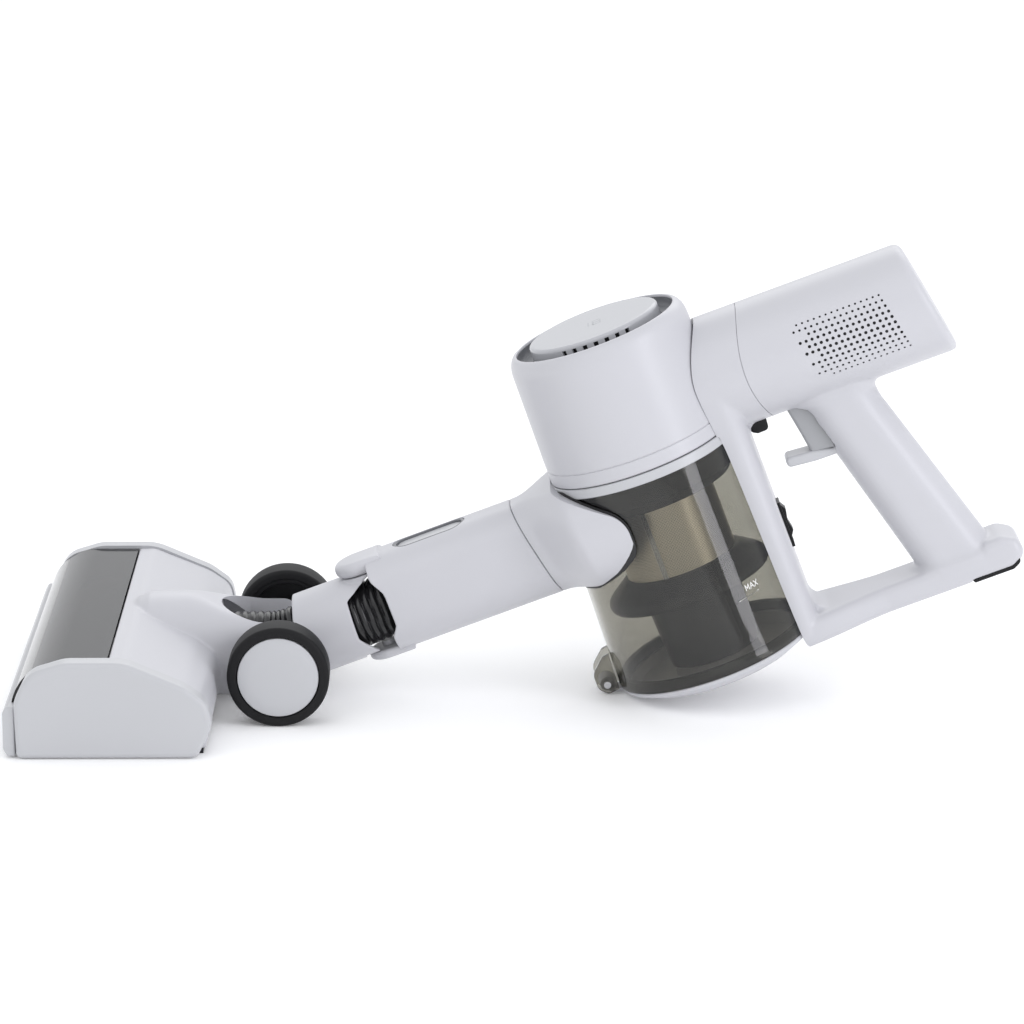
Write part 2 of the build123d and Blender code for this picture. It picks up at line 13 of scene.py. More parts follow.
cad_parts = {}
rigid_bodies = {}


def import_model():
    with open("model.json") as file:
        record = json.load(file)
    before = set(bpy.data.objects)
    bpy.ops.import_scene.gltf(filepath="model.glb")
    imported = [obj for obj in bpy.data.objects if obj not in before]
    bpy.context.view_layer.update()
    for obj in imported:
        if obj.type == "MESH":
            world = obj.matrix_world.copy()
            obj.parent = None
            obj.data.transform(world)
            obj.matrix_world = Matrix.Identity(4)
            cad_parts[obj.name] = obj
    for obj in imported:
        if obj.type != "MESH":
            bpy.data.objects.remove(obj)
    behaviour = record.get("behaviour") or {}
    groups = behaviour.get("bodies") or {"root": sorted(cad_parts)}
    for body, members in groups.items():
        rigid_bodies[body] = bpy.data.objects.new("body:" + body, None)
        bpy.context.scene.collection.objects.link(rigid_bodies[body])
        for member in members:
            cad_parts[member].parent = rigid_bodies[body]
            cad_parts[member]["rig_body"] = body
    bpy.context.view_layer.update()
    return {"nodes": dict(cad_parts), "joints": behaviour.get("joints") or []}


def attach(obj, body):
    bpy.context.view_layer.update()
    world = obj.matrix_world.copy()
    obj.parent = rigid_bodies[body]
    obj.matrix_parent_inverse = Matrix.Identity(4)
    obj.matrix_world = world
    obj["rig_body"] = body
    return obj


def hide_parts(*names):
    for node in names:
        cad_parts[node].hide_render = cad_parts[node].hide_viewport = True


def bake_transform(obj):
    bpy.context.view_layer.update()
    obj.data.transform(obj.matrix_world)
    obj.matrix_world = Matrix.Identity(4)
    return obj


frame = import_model()
nodes = frame["nodes"]
joints = {joint["name"]: joint for joint in frame["joints"]}

MM = 0.001
LEAST_ROUND = 0.06                      # the smallest round left at a corner, in millimetres
FAN_HEIGHT = 15.0                       # the fan's joint sits this far above the cup seam

cup_axis = Vector(joints["impeller_spin"]["axis"])
across = Vector((0, 1, 0))
rearward = across.cross(cup_axis)
seam_point = Vector(joints["impeller_spin"]["pos_m"]) - cup_axis * FAN_HEIGHT * MM
UPRIGHT = (Matrix.Translation(seam_point)
           @ Matrix((rearward, across, cup_axis)).transposed().to_4x4() @ Matrix.Scale(MM, 4))
LEVEL = Matrix.Scale(MM, 4)
TO_UPRIGHT = UPRIGHT.inverted()


def upright_point(point_m):
    return TO_UPRIGHT @ Vector(point_m)


# ---- sizes, in millimetres ----
HOUSING_R = 52.4
RECESS_R, RECESS_FLOOR = 45.6, 68.0
PAD_R, PAD_TOP = 37.4, 77.4
CUP_TOP_R, CUP_FOOT_R, CUP_FOOT = 53.2, 57.2, -122.0
BARREL_AXIS, BARREL_R, BARREL_SEAM_R = 27.0, 33.0, 76.8
BARREL_END, BARREL_LEAN = 178.4, math.radians(10.5)
TUBE_AXIS, TUBE_W, TUBE_H, TUBE_ROUND = -30.0, 50.0, 56.6, 21.0
TUBE_SEAM, TUBE_SEAM_LEAN = -72.5, math.radians(11.7)
HOSE_R = 18.0
axle_mm = Vector(joints["head_pitch"]["pos_m"]) / MM
axle_up = upright_point(joints["head_pitch"]["pos_m"])
roller_mm = Vector(joints["roller_spin"]["pos_m"]) / MM
NECK_AXIS = axle_up.z
HEAD_HALF, CAP_T = 127.0, 11.6
WHEEL_W, WHEEL_OUT, HUB_R = 19.4, 69.0, 22.5


def preset(node, **values):
    """Give a node's inputs their values; a word's underscore stands for a space in the input's name."""
    for label, value in values.items():
        node.inputs[label.replace("_", " ")].default_value = value
    return node


def linker(tree):
    """A function that links one node's output to another node's input."""
    def link(source, output, target, entry):
        tree.links.new(source.outputs[output], target.inputs[entry])
    return link


# ---- shader groups ----
def new_group(name, inputs, outputs):
    group = bpy.data.node_groups.new(name, "ShaderNodeTree")
    for label, kind, value in inputs:
        socket = group.interface.new_socket(name=label, in_out="INPUT", socket_type="NodeSocket" + kind)
        socket.default_value = value
    for label, kind in outputs:
        group.interface.new_socket(name=label, in_out="OUTPUT", socket_type="NodeSocket" + kind)
    return group, group.nodes.new("NodeGroupInput"), group.nodes.new("NodeGroupOutput")


def moulded_surface():
    """Fine moulding grain with a slow drift of tone and gloss."""
    group, given, out = new_group(
        "moulded_surface",
        [("Tone", "Color", (0.8, 0.8, 0.8, 1)), ("Drift", "Float", 0.05), ("Gloss Low", "Float", 0.3),
         ("Gloss High", "Float", 0.4), ("Grain Size", "Float", 1800.0)],
        [("Color", "Color"), ("Roughness", "Float"), ("Height", "Float")])
    link, make = linker(group), group.nodes.new
    coords = make("ShaderNodeTexCoord")
    cloud = preset(make("ShaderNodeTexNoise"), Scale=14, Detail=3)
    link(coords, "Object", cloud, "Vector")
    shade = make("ShaderNodeMix")
    shade.data_type = "RGBA"
    shade.blend_type = "MULTIPLY"
    link(given, "Tone", shade, "A")
    dim = preset(make("ShaderNodeMapRange"), To_Min=0.90, To_Max=1.0)
    link(cloud, "Fac", dim, "Value")
    link(dim, "Result", shade, "B")
    link(given, "Drift", shade, "Factor")
    link(shade, "Result", out, "Color")
    gloss = make("ShaderNodeMapRange")
    link(cloud, "Fac", gloss, "Value")
    link(given, "Gloss Low", gloss, "To Min")
    link(given, "Gloss High", gloss, "To Max")
    link(gloss, "Result", out, "Roughness")
    grain = preset(make("ShaderNodeTexNoise"), Detail=1)
    link(coords, "Object", grain, "Vector")
    link(given, "Grain Size", grain, "Scale")
    link(grain, "Fac", out, "Height")
    return group


MOULDED = moulded_surface()


def new_material(name):
    material = bpy.data.materials.new(name)
    material.use_nodes = True
    return material, material.node_tree.nodes["Principled BSDF"], material.node_tree


GRAIN_DEPTH = 0.0002                     # the height of the moulding grain, in metres


def moulded(name, tone, gloss=(0.3, 0.4), drift=0.5, grain=0.02, metallic=0.0, specular=0.5):
    material, shader, tree = new_material(name)
    surface = tree.nodes.new("ShaderNodeGroup")
    surface.node_tree = MOULDED
    link = linker(tree)
    preset(surface, Tone=(*tone, 1), Drift=drift, Gloss_Low=gloss[0], Gloss_High=gloss[1])
    bump = preset(tree.nodes.new("ShaderNodeBump"), Strength=grain, Distance=GRAIN_DEPTH)
    link(surface, "Height", bump, "Height")
    link(surface, "Color", shader, "Base Color")
    link(surface, "Roughness", shader, "Roughness")
    link(bump, "Normal", shader, "Normal")
    preset(shader, Metallic=metallic, Specular_IOR_Level=specular)
    return material


ACRYLIC_IOR = 1.49


def smoked(name, tone, shine=0.25):
    """See-through smoked plastic: the tone is what one wall lets through."""
    material, shader = new_material(name)[:2]
    preset(shader, Base_Color=(*tone, 1), Roughness=0.03, IOR=ACRYLIC_IOR, Transmission_Weight=1.0,
           Specular_IOR_Level=shine)
    return material


WHITE = moulded("white_abs", (0.545, 0.545, 0.575), gloss=(0.30, 0.38))
PALE = moulded("pale_grey_abs", (0.51, 0.515, 0.535), gloss=(0.28, 0.36))
PAD = moulded("display_pad_abs", (0.47, 0.475, 0.50), gloss=(0.16, 0.2))
MID_GREY = moulded("mid_grey_plastic", (0.18, 0.185, 0.20), gloss=(0.3, 0.4))
LEVER_GREY = moulded("lever_grey_abs", (0.34, 0.345, 0.36), gloss=(0.28, 0.36))
DARK = moulded("dark_plastic", (0.012, 0.012, 0.017), gloss=(0.26, 0.36), specular=0.3)
BLACK = moulded("black_plastic", (0.008, 0.008, 0.009), gloss=(0.3, 0.42), specular=0.25)
RUBBER = moulded("tyre_rubber", (0.010, 0.010, 0.011), gloss=(0.5, 0.62), grain=0.08, specular=0.2)
SEAL = moulded("seal_rubber", (0.015, 0.015, 0.016), gloss=(0.4, 0.5), grain=0.05)
HOSE = moulded("hose_plastic", (0.012, 0.012, 0.013), gloss=(0.16, 0.24))
STEEL = moulded("turned_steel", (0.55, 0.55, 0.56), gloss=(0.22, 0.32), metallic=1.0)
BOARD = moulded("circuit_board", (0.02, 0.10, 0.05), gloss=(0.35, 0.45))
CELL = moulded("cell_sleeve", (0.02, 0.12, 0.16), gloss=(0.3, 0.4))
PAPER = moulded("filter_paper", (0.62, 0.60, 0.52), gloss=(0.8, 0.9), grain=0.3)
BRISTLE = moulded("red_bristle", (0.62, 0.12, 0.06), gloss=(0.45, 0.55))
CLEAR_CUP = smoked("smoked_cup", (0.47, 0.46, 0.415))
CLEAR_WINDOW = smoked("smoked_window", (0.08, 0.08, 0.085))
INK = moulded("print_ink", (0.78, 0.78, 0.78), gloss=(0.5, 0.55))
FAINT_INK = moulded("display_ink", (0.40, 0.41, 0.43), gloss=(0.2, 0.25))


def champagne_mesh():
    """Perforated champagne sheet: fine dark holes in staggered rows, laid out on the piece's UV map."""
    material, shader, tree = new_material("champagne_mesh")
    make, link = tree.nodes.new, linker(tree)
    uv = make("ShaderNodeUVMap")
    uv.uv_map = "wrap"
    holes = preset(make("ShaderNodeTexVoronoi"), Scale=1, Randomness=0)
    link(uv, "UV", holes, "Vector")
    mask = preset(make("ShaderNodeMapRange"), From_Min=0.24, From_Max=0.32)
    link(holes, "Distance", mask, "Value")
    tone = make("ShaderNodeMix")
    tone.data_type = "RGBA"
    tone.inputs["A"].default_value = (0.16, 0.14, 0.11, 1)
    tone.inputs["B"].default_value = (0.92, 0.85, 0.73, 1)
    link(mask, "Result", tone, "Factor")
    link(tone, "Result", shader, "Base Color")
    preset(shader, Metallic=1.0, Roughness=0.34)
    return material


MESH_SHEET = champagne_mesh()


# ---- mesh tools ----
def solid(name, points, faces, place, material):
    """A mesh object in metres, with its faces pointing outwards."""
    mesh = bpy.data.meshes.new(name)
    mesh.from_pydata([place @ Vector(point) for point in points], [], faces)
    shape = bmesh.new()
    shape.from_mesh(mesh)
    bmesh.ops.remove_doubles(shape, verts=shape.verts, dist=1e-6)
    bmesh.ops.recalc_face_normals(shape, faces=shape.faces)
    shape.to_mesh(mesh)
    shape.free()
    mesh.materials.append(material)
    return smooth(placed(name, mesh))


def placed(name, data):
    piece = bpy.data.objects.new(name, data)
    bpy.context.scene.collection.objects.link(piece)
    return piece


def smooth(piece, angle=math.radians(32)):
    piece.data.shade_smooth()
    piece.data.set_sharp_from_angle(angle=angle)
    return piece


def baked(piece):
    """The piece with its modifiers made into plain mesh."""
    graph = bpy.context.evaluated_depsgraph_get()
    mesh = bpy.data.meshes.new_from_object(piece.evaluated_get(graph))
    piece.modifiers.clear()
    old = piece.data
    piece.data = mesh
    bpy.data.meshes.remove(old)
    return piece


def loft(name, rings, place, material, loop=False):
    """Skin rings of equal length.  A ring of one point is a pole; loop joins the last ring to the first."""
    points, starts, faces = [], [], []
    for ring in rings:
        starts.append(len(points))
        points.extend(ring)

    def at(ring, step):
        return starts[ring] + (step if len(rings[ring]) > 1 else 0)

    pairs = list(zip(range(len(rings)), range(1, len(rings))))
    if loop:
        pairs.append((len(rings) - 1, 0))
    for a, b in pairs:
        count = max(len(rings[a]), len(rings[b]))
        for k in range(count):
            n = (k + 1) % count
            corner = [at(a, k), at(a, n), at(b, n), at(b, k)]
            face = list(dict.fromkeys(corner))
            if len(face) > 2:
                faces.append(face)
    if not loop:
        for index in (0, len(rings) - 1):
            if len(rings[index]) > 2:
                faces.append([starts[index] + k for k in range(len(rings[index]))])
    return solid(name, points, faces, place, material)


def rounded(corners, steps=6):
    """An outline from (x, z) or (x, z, radius) corners, with its round corners as arcs."""
    line = []
    count = len(corners)
    for k, corner in enumerate(corners):
        here = Vector(corner[:2])
        radius = corner[2] if len(corner) > 2 else 0
        if not radius:
            line.append(tuple(here))
            continue
        before = (Vector(corners[k - 1][:2]) - here).normalized()
        after = (Vector(corners[(k + 1) % count][:2]) - here).normalized()
        half = before.angle(after) / 2
        reach = radius / math.tan(half)
        centre = here + (before + after).normalized() * radius / math.sin(half)
        first, last = here + before * reach - centre, here + after * reach - centre
        turn = first.angle_signed(last)
        for step in range(steps + 1):
            angle = -turn * step / steps
            line.append((centre.x + first.x * math.cos(angle) - first.y * math.sin(angle),
                         centre.y + first.x * math.sin(angle) + first.y * math.cos(angle)))
    return line


def turned(name, outline, place, material, centre=(0, 0), steps=160, axis="Z"):
    """A closed outline of (radius, height) turned about an axis parallel to Z or Y."""
    rings = []
    for radius, height in outline:
        ring = []
        for k in range(steps if radius > 1e-6 else 1):
            angle = 2 * math.pi * k / steps
            a, b = radius * math.cos(angle), radius * math.sin(angle)
            if axis == "Z":
                ring.append((centre[0] + a, centre[1] + b, height))
            else:
                ring.append((centre[0] + a, height, centre[1] + b))
        rings.append(ring)
    return loft(name, rings, place, material, loop=True)


def offset(outline, distance):
    """A closed outline moved inwards along its corner bisectors; the outline runs anticlockwise."""
    moved = []
    count = len(outline)
    for k in range(count):
        a, b, c = (Vector(outline[(k + step) % count]) for step in (-1, 0, 1))
        into, away = (b - a).normalized(), (c - b).normalized()
        normal = Vector((-(into.y + away.y), into.x + away.x))
        normal = normal.normalized() if normal.length > 1e-9 else Vector((-into.y, into.x))
        spread = max(0.35, normal.dot(Vector((-into.y, into.x))))
        moved.append(tuple(b + normal * distance / spread))
    return moved


def area(outline):
    return sum(a[0] * b[1] - b[0] * a[1] for a, b in zip(outline, outline[1:] + outline[:1])) / 2


def corners_in(corners, steps=6):
    """How an outline of (x, z, radius) corners draws in: its sharp corners move, then are rounded again."""
    if area([corner[:2] for corner in corners]) < 0:
        corners = corners[::-1]

    def line_at(inset):
        sharp = offset([corner[:2] for corner in corners], inset)
        return rounded([(*point, max(LEAST_ROUND, corner[2] - inset)) for point, corner in zip(sharp,
                                                                                               corners)],
                       steps)
    return line_at


def outline_in(outline):
    """How a smooth outline draws in."""
    if area(outline) < 0:
        outline = outline[::-1]
    return lambda inset: offset(outline, inset) if inset > 1e-9 else outline


def slab(name, line_at, low, high, place, material, edge=1.0, plane="XZ", steps=4, rims=(1, 1)):
    """An outline drawn out between two levels.  line_at is an outline, or a function from an inset to one;
    plane names the outline's two axes; rims says whether the low and the high rim are rounded."""
    if not callable(line_at):
        line_at = outline_in(line_at)
    rows = [(edge * (1 - math.sin(math.pi / 2 * k / steps)), edge * (1 - math.cos(math.pi / 2 * k / steps)))
            for k in range(steps + 1)]
    levels = [(inset, low + depth) for inset, depth in rows] if rims[0] and edge else [(0, low)]
    levels += [(inset, high - depth) for inset, depth in reversed(rows)] if rims[1] and edge else [(0, high)]
    rings = []
    for inset, level in levels:
        rings.append([(x, level, z) if plane == "XZ" else (x, z, level) for x, z in line_at(inset)])
    return loft(name, rings, place, material)


def section(wide, high, radius, steps=12):
    """A rounded rectangle about the origin as (y, z) points, anticlockwise from the right side."""
    ring = []
    for quarter, (sy, sz) in enumerate(((1, 1), (-1, 1), (-1, -1), (1, -1))):
        for step in range(steps + 1):
            angle = math.pi / 2 * (quarter + step / steps)
            ring.append((sy * (wide / 2 - radius) + radius * math.cos(angle),
                         sz * (high / 2 - radius) + radius * math.sin(angle)))
    return ring


def circle(radius, steps=128):
    return [(radius * math.cos(2 * math.pi * k / steps), radius * math.sin(2 * math.pi * k / steps))
            for k in range(steps)]


def sleeve(name, shape, height, start, end, wall, place, material, rows=24, lip=0.5):
    """A tube along X with ends cut to follow start(y, z) and end(y, z); shape(inset) is its section."""
    outer, inner = shape(0), shape(wall)
    softened = shape(lip)
    rings = [[(start(y, z), y, z + height) for y, z in softened]]
    for row in range(rows + 1):
        share = row / rows
        rings.append([((start(y, z) + lip) * (1 - share) + (end(y, z) - lip) * share, y, z + height)
                      for y, z in outer])
    rings.append([(end(y, z), y, z + height) for y, z in softened])
    rings.append([(end(y, z), y, z + height) for y, z in inner])
    rings.append([(start(y, z), y, z + height) for y, z in inner])
    return loft(name, rings, place, material, loop=True)


def eased(share):
    share = min(1.0, max(0.0, share))
    return share * share * (3 - 2 * share)


def block(name, limits, place, material):
    """A plain block between limits (x0, x1, y0, y1, z0, z1), mostly used as a cutting tool."""
    x0, x1, y0, y1, z0, z1 = limits
    corners = [(x, y, z) for x in (x0, x1) for y in (y0, y1) for z in (z0, z1)]
    faces = [(0, 1, 3, 2), (4, 6, 7, 5), (0, 4, 5, 1), (2, 3, 7, 6), (0, 2, 6, 4), (1, 5, 7, 3)]
    return solid(name, corners, faces, place, material)


def boolean(piece, tools, operation):
    """Work closed tool shapes into the piece; the tools are used up."""
    for tool in tools:
        modifier = piece.modifiers.new("boolean", "BOOLEAN")
        modifier.operation = operation
        modifier.solver = "EXACT"
        modifier.object = tool
    baked(piece)
    for tool in tools:
        drop(tool)
    return piece


def cut(piece, tools):
    return smooth(boolean(piece, tools, "DIFFERENCE"))


def kept_inside(piece, tool):
    return boolean(piece, [tool], "INTERSECT")


def drop(piece):
    mesh = piece.data
    bpy.data.objects.remove(piece)
    bpy.data.meshes.remove(mesh)


def merged(name, shapes):
    """One object that takes over the meshes of several."""
    mesh = bpy.data.meshes.new(name)
    whole = bmesh.new()
    for shape in shapes:
        whole.from_mesh(shape.data)
    whole.to_mesh(mesh)
    whole.free()
    for shape in shapes:
        drop(shape)
    return placed(name, mesh)


def joined(name, shapes):
    """Several meshes as one piece, in the first one's material."""
    material = shapes[0].data.materials[0]
    piece = merged(name, shapes)
    piece.data.materials.append(material)
    return smooth(piece)


def moulded_union(name, shapes, cell, passes, material):
    """Join overlapping closed shapes into one skin whose inner corners are softly filled."""
    piece = merged(name, shapes)
    remesh = piece.modifiers.new("remesh", "REMESH")
    remesh.mode = "VOXEL"
    remesh.voxel_size = cell * MM
    remesh.adaptivity = 0
    soften = piece.modifiers.new("soften", "SMOOTH")
    soften.factor = 0.5
    soften.iterations = passes
    baked(piece)
    piece.data.materials.clear()
    piece.data.materials.append(material)
    piece.data.shade_smooth()
    return piece


def stand_in(piece, *names):
    """The piece rides with the CAD nodes it stands for and takes their place."""
    body = nodes[names[0]]["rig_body"]
    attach(piece, body)
    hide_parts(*names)
    return piece


def along(piece, body):
    """An added detail that stands for no CAD node."""
    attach(piece, body)
    return piece


def finish_node(name, material):
    mesh = nodes[name].data
    mesh.materials.clear()
    mesh.materials.append(material)


# ---- repeated pieces by geometry nodes ----
def pegs_tree(name, sides, taper):
    """One peg on every point: it stands along the point's aim, sized by the point's size."""
    tree = bpy.data.node_groups.new(name, "GeometryNodeTree")
    face = tree.interface
    face.new_socket(name="Points", in_out="INPUT", socket_type="NodeSocketGeometry")
    face.new_socket(name="Length", in_out="INPUT", socket_type="NodeSocketFloat")
    face.new_socket(name="Material", in_out="INPUT", socket_type="NodeSocketMaterial")
    face.new_socket(name="Pegs", in_out="OUTPUT", socket_type="NodeSocketGeometry")
    link, make = linker(tree), tree.nodes.new
    given, out = make("NodeGroupInput"), make("NodeGroupOutput")
    peg = preset(make("GeometryNodeMeshCone"), Vertices=sides, Radius_Bottom=1.0, Radius_Top=taper)
    link(given, "Length", peg, "Depth")
    size, aim = make("GeometryNodeInputNamedAttribute"), make("GeometryNodeInputNamedAttribute")
    size.inputs["Name"].default_value = "size"
    aim.data_type = "FLOAT_VECTOR"
    aim.inputs["Name"].default_value = "aim"
    turn = make("FunctionNodeAlignRotationToVector")
    turn.axis = "Z"
    link(aim, "Attribute", turn, "Vector")
    thick = make("ShaderNodeCombineXYZ")
    link(size, "Attribute", thick, "X")
    link(size, "Attribute", thick, "Y")
    thick.inputs["Z"].default_value = 1.0
    place = make("GeometryNodeInstanceOnPoints")
    link(given, "Points", place, "Points")
    link(peg, "Mesh", place, "Instance")
    link(turn, "Rotation", place, "Rotation")
    link(thick, "Vector", place, "Scale")
    whole, paint = make("GeometryNodeRealizeInstances"), make("GeometryNodeSetMaterial")
    link(place, "Instances", whole, "Geometry")
    link(whole, "Geometry", paint, "Geometry")
    link(given, "Material", paint, "Material")
    link(paint, "Geometry", out, "Pegs")
    return tree


def pegs(name, spots, length, place, material, sides=12, taper=1.0):
    """spots are (point, aim, radius) in millimetres."""
    mesh = bpy.data.meshes.new(name)
    mesh.from_pydata([place @ Vector(point) for point, aim, radius in spots], [], [])
    aims = mesh.attributes.new("aim", "FLOAT_VECTOR", "POINT")
    aims.data.foreach_set("vector", [c for point, aim, radius in spots
                                     for c in (place.to_3x3() @ Vector(aim)).normalized()])
    sizes = mesh.attributes.new("size", "FLOAT", "POINT")
    sizes.data.foreach_set("value", [radius * MM for point, aim, radius in spots])
    mesh.materials.append(material)
    piece = placed(name, mesh)
    modifier = piece.modifiers.new("pegs", "NODES")
    modifier.node_group = pegs_tree(name + "_tree", sides, taper)
    keys = {item.name: item.identifier for item in modifier.node_group.interface.items_tree
            if item.item_type == "SOCKET" and item.in_out == "INPUT"}
    modifier[keys["Length"]] = length * MM
    modifier[keys["Material"]] = material
    return smooth(baked(piece))


# ---- floor, light and camera ----
def studio():
    floor_material, shader = new_material("studio_floor")[:2]
    preset(shader, Base_Color=(0.97, 0.97, 0.97, 1), Emission_Color=(1, 1, 1, 1), Emission_Strength=0.08,
           Roughness=0.9, Specular_IOR_Level=0.1)
    floor = block("studio_floor", (-9000, 9000, -9000, 9000, -12, 0), LEVEL, floor_material)
    world = bpy.data.worlds.new("studio")
    world.use_nodes = True
    preset(world.node_tree.nodes["Background"], Color=(0.97, 0.98, 1.0, 1), Strength=1.0)
    bpy.context.scene.world = world
    bpy.context.scene.view_settings.view_transform = "Standard"


def soft_light(name, spot, aim, wide, high, power, colour=(1, 1, 1)):
    lamp = bpy.data.lights.new(name, "AREA")
    lamp.shape = "RECTANGLE"
    lamp.size, lamp.size_y = wide, high
    lamp.energy = power
    lamp.color = colour
    holder = placed(name, lamp)
    holder.location = spot
    holder.rotation_euler = (Vector(aim) - Vector(spot)).to_track_quat("-Z", "Y").to_euler()
    return holder


def look_from():
    """The viewing camera: a long lens, a little above the object and square to its side."""
    turn, rise, away = math.radians(-0.4), math.radians(14.59), 2.450
    target = Vector((-0.006, 0, 0.1033))
    camera = bpy.data.cameras.new("view")
    camera.sensor_width = 36
    camera.lens = 155.04
    camera.clip_end = 50
    holder = placed("view", camera)
    out = Vector((math.sin(turn) * math.cos(rise), -math.cos(turn) * math.cos(rise), math.sin(rise)))
    holder.location = target + out * away
    holder.rotation_euler = (-out).to_track_quat("-Z", "Y").to_euler()
    bpy.context.scene.camera = holder


studio()
look_from()
soft_light("key", (-0.7, -1.3, 1.9), (0, 0, 0.1), 1.6, 1.6, 4)
soft_light("side_strip", (1.25, -0.95, 0.75), (0.06, 0, 0.1), 0.45, 1.4, 7, (0.93, 0.93, 1.0))
soft_light("back", (0.2, 1.7, 1.4), (0, 0, 0.1), 2.0, 1.2, 8)


# ---- motor housing and display ----
def arc(centre, radius, start, end, steps):
    return [(centre[0] + radius * math.cos(math.radians(start + (end - start) * k / steps)),
             centre[1] + radius * math.sin(math.radians(start + (end - start) * k / steps)))
            for k in range(steps + 1)]


def housing_outline():
    line = [(HOUSING_R - 2.4, 0.9), (HOUSING_R - 0.6, 0.8), (HOUSING_R, 1.4),
            (HOUSING_R - 0.1, 8.6), (HOUSING_R - 0.55, 8.85), (HOUSING_R - 0.55, 9.25),
            (HOUSING_R - 0.1, 9.5)]
    line += [(HOUSING_R - 0.1 - k * 0.2, 12 + 10.2 * k) for k in range(6)]
    line += [(51.25, 65.5), (50.95, 68.2), (50.3, 70.6), (49.2, 72.6), (47.9, 74.0), (46.9, 74.5),
             (46.2, 74.6), (45.8, 74.4), (RECESS_R, 73.9)]
    line += [(RECESS_R, RECESS_FLOOR - 2.3), (HOUSING_R - 3.6, 60), (HOUSING_R - 2.6, 20)]
    return line


housing = turned("motor_housing_shell", housing_outline(), UPRIGHT, WHITE, steps=192)
stand_in(housing, "motor_housing")

recess = turned("recess_liner", [(45.55, 73.3), (45.5, 70.0), (44.6, 68.6), (43.0, 68.1),
                                 (PAD_R + 0.9, 68.0), (PAD_R + 0.9, 66.0), (45.5, 66.0), (45.58, 67.0)],
                UPRIGHT, MID_GREY, steps=192)
stand_in(recess, "recess_ring")


SLOT_STEP = 9.7                          # degrees between the slots in the pad's rim


def pad():
    """The display pad: a soft-edged cap with seven slots in the front of its rim."""
    outline = [(0, PAD_TOP)] + [(r, PAD_TOP) for r in (10, 20, 30)]
    outline += arc((PAD_R - 2.2, PAD_TOP - 2.2), 2.2, 90, 0, 8)
    outline += [(PAD_R, 74.9), (PAD_R, 72.3), (PAD_R, 65.7), (PAD_R - 1.8, 65.7), (PAD_R - 1.8, 74.6),
                (0, 74.9)]
    cap = turned("display_cap", outline, UPRIGHT, PAD, steps=192)
    tools = []
    for step in range(-3, 4):
        turn = Matrix.Rotation(math.radians(SLOT_STEP * step), 4, "Z")
        limits = (-1.25, 1.25, -PAD_R - 2, -PAD_R + 3, 71.9, 75.0)
        tools.append(block("slot_tool", limits, UPRIGHT @ turn, BLACK))
    return cut(cap, tools)


def digit_bars(text, left, low, tall, wide, thick):
    """Seven-bar digits lying on the pad, as flat slabs."""
    lit = {"1": "bc", "8": "abcdefg", "0": "abcdef", "6": "acdefg"}
    spots = {"a": (0, 1, 1), "b": (1, 0.5, 0), "c": (1, 0, 0), "d": (0, 0, 1), "e": (0, 0, 0),
             "f": (0, 0.5, 0), "g": (0, 0.5, 1)}
    bars = []
    for place, figure in enumerate(text):
        base = left + place * (wide + 1.6 * thick + 1.2)
        for bar in lit[figure]:
            x, y, flat = spots[bar]
            x0, y0 = base + x * wide, low + y * tall
            bars.append((x0, x0 + (wide if flat else thick), y0, y0 + (thick if flat else tall / 2)))
    return bars


stand_in(pad(), "display_pad")
glow = []
for x0, x1, y0, y1 in digit_bars("18", -7.0, -5.0, 9.0, 4.2, 0.9):
    glow.append(block("digit_bar", (x0, x1, y0, y1, PAD_TOP - 0.02, PAD_TOP + 0.04), UPRIGHT, FAINT_INK))
along(joined("display_digits", glow), "main")
behind_slots = turned("slot_shadow", [(PAD_R - 2.0, 74.4), (PAD_R - 2.0, 71.6), (PAD_R - 3.2, 71.6),
                                      (PAD_R - 3.2, 74.4)], UPRIGHT, BLACK, steps=96)
along(behind_slots, "main")


# ---- dust cup and cyclone ----
def cup_radius(height):
    return CUP_TOP_R + (CUP_FOOT_R - CUP_TOP_R) * height / CUP_FOOT


def cup_wall():
    """The smoked cup: a drafted tube with a slightly stepped foot."""
    levels = [0.0, -8, -16, -30, -45, -60, -75, -90, -105, -116]
    outer = [(cup_radius(level) - (0.5 if level == 0 else 0), level - 0.5) for level in levels]
    outer += [(57.2, -118.5), (57.2, -121.2), (56.9, -121.9)]
    inner = [(55.4, -122.0), (55.1, -121.0)]
    inner += [(cup_radius(level) - 2, level - 0.5) for level in reversed(levels)]
    return turned("cup_glass", outer + inner, UPRIGHT, CLEAR_CUP, steps=192)


def cup_lugs():
    """Two ears at the front of the foot that carry the door's hinge pin."""
    ears = []
    line = [(-56.5, -101, 0.3), (-60.5, -101.4, 3), (-68.8, -109, 7), (-68.8, -118.5, 5), (-64, -123, 3),
            (-57.6, -121.9, 0.3)]
    for low, high in ((6.2, 10), (-10, -6.2)):
        ears.append(slab("hinge_ear", corners_in(line), low, high, UPRIGHT, CLEAR_CUP, edge=0.5))
    return ears


cup = cup_wall()
stand_in(cup, "cup_shell")
for index, ear in enumerate(cup_lugs()):
    ear.name = f"hinge_ear_{index + 1}"
    along(ear, "main")

cap = turned("cyclone_collar", [(50.6, -4.8), (50.9, -5.4), (50.9, -16.9), (50.4, -17.5), (44.5, -17.6),
                                (44, -18.1), (44, -22.8), (43.4, -23.4), (32.6, -23.5), (32.2, -22),
                                (40.5, -15), (40.5, -4.7)], UPRIGHT, DARK)
stand_in(cap, "cyclone_cap")
lip = turned("cup_lip", [(52.3, 0.45), (53.1, 0.2), (53.65, -4.4), (53.3, -4.9), (51.3, -4.9), (51.1, 0.3)],
             UPRIGHT, PALE, steps=192)
along(lip, "main")


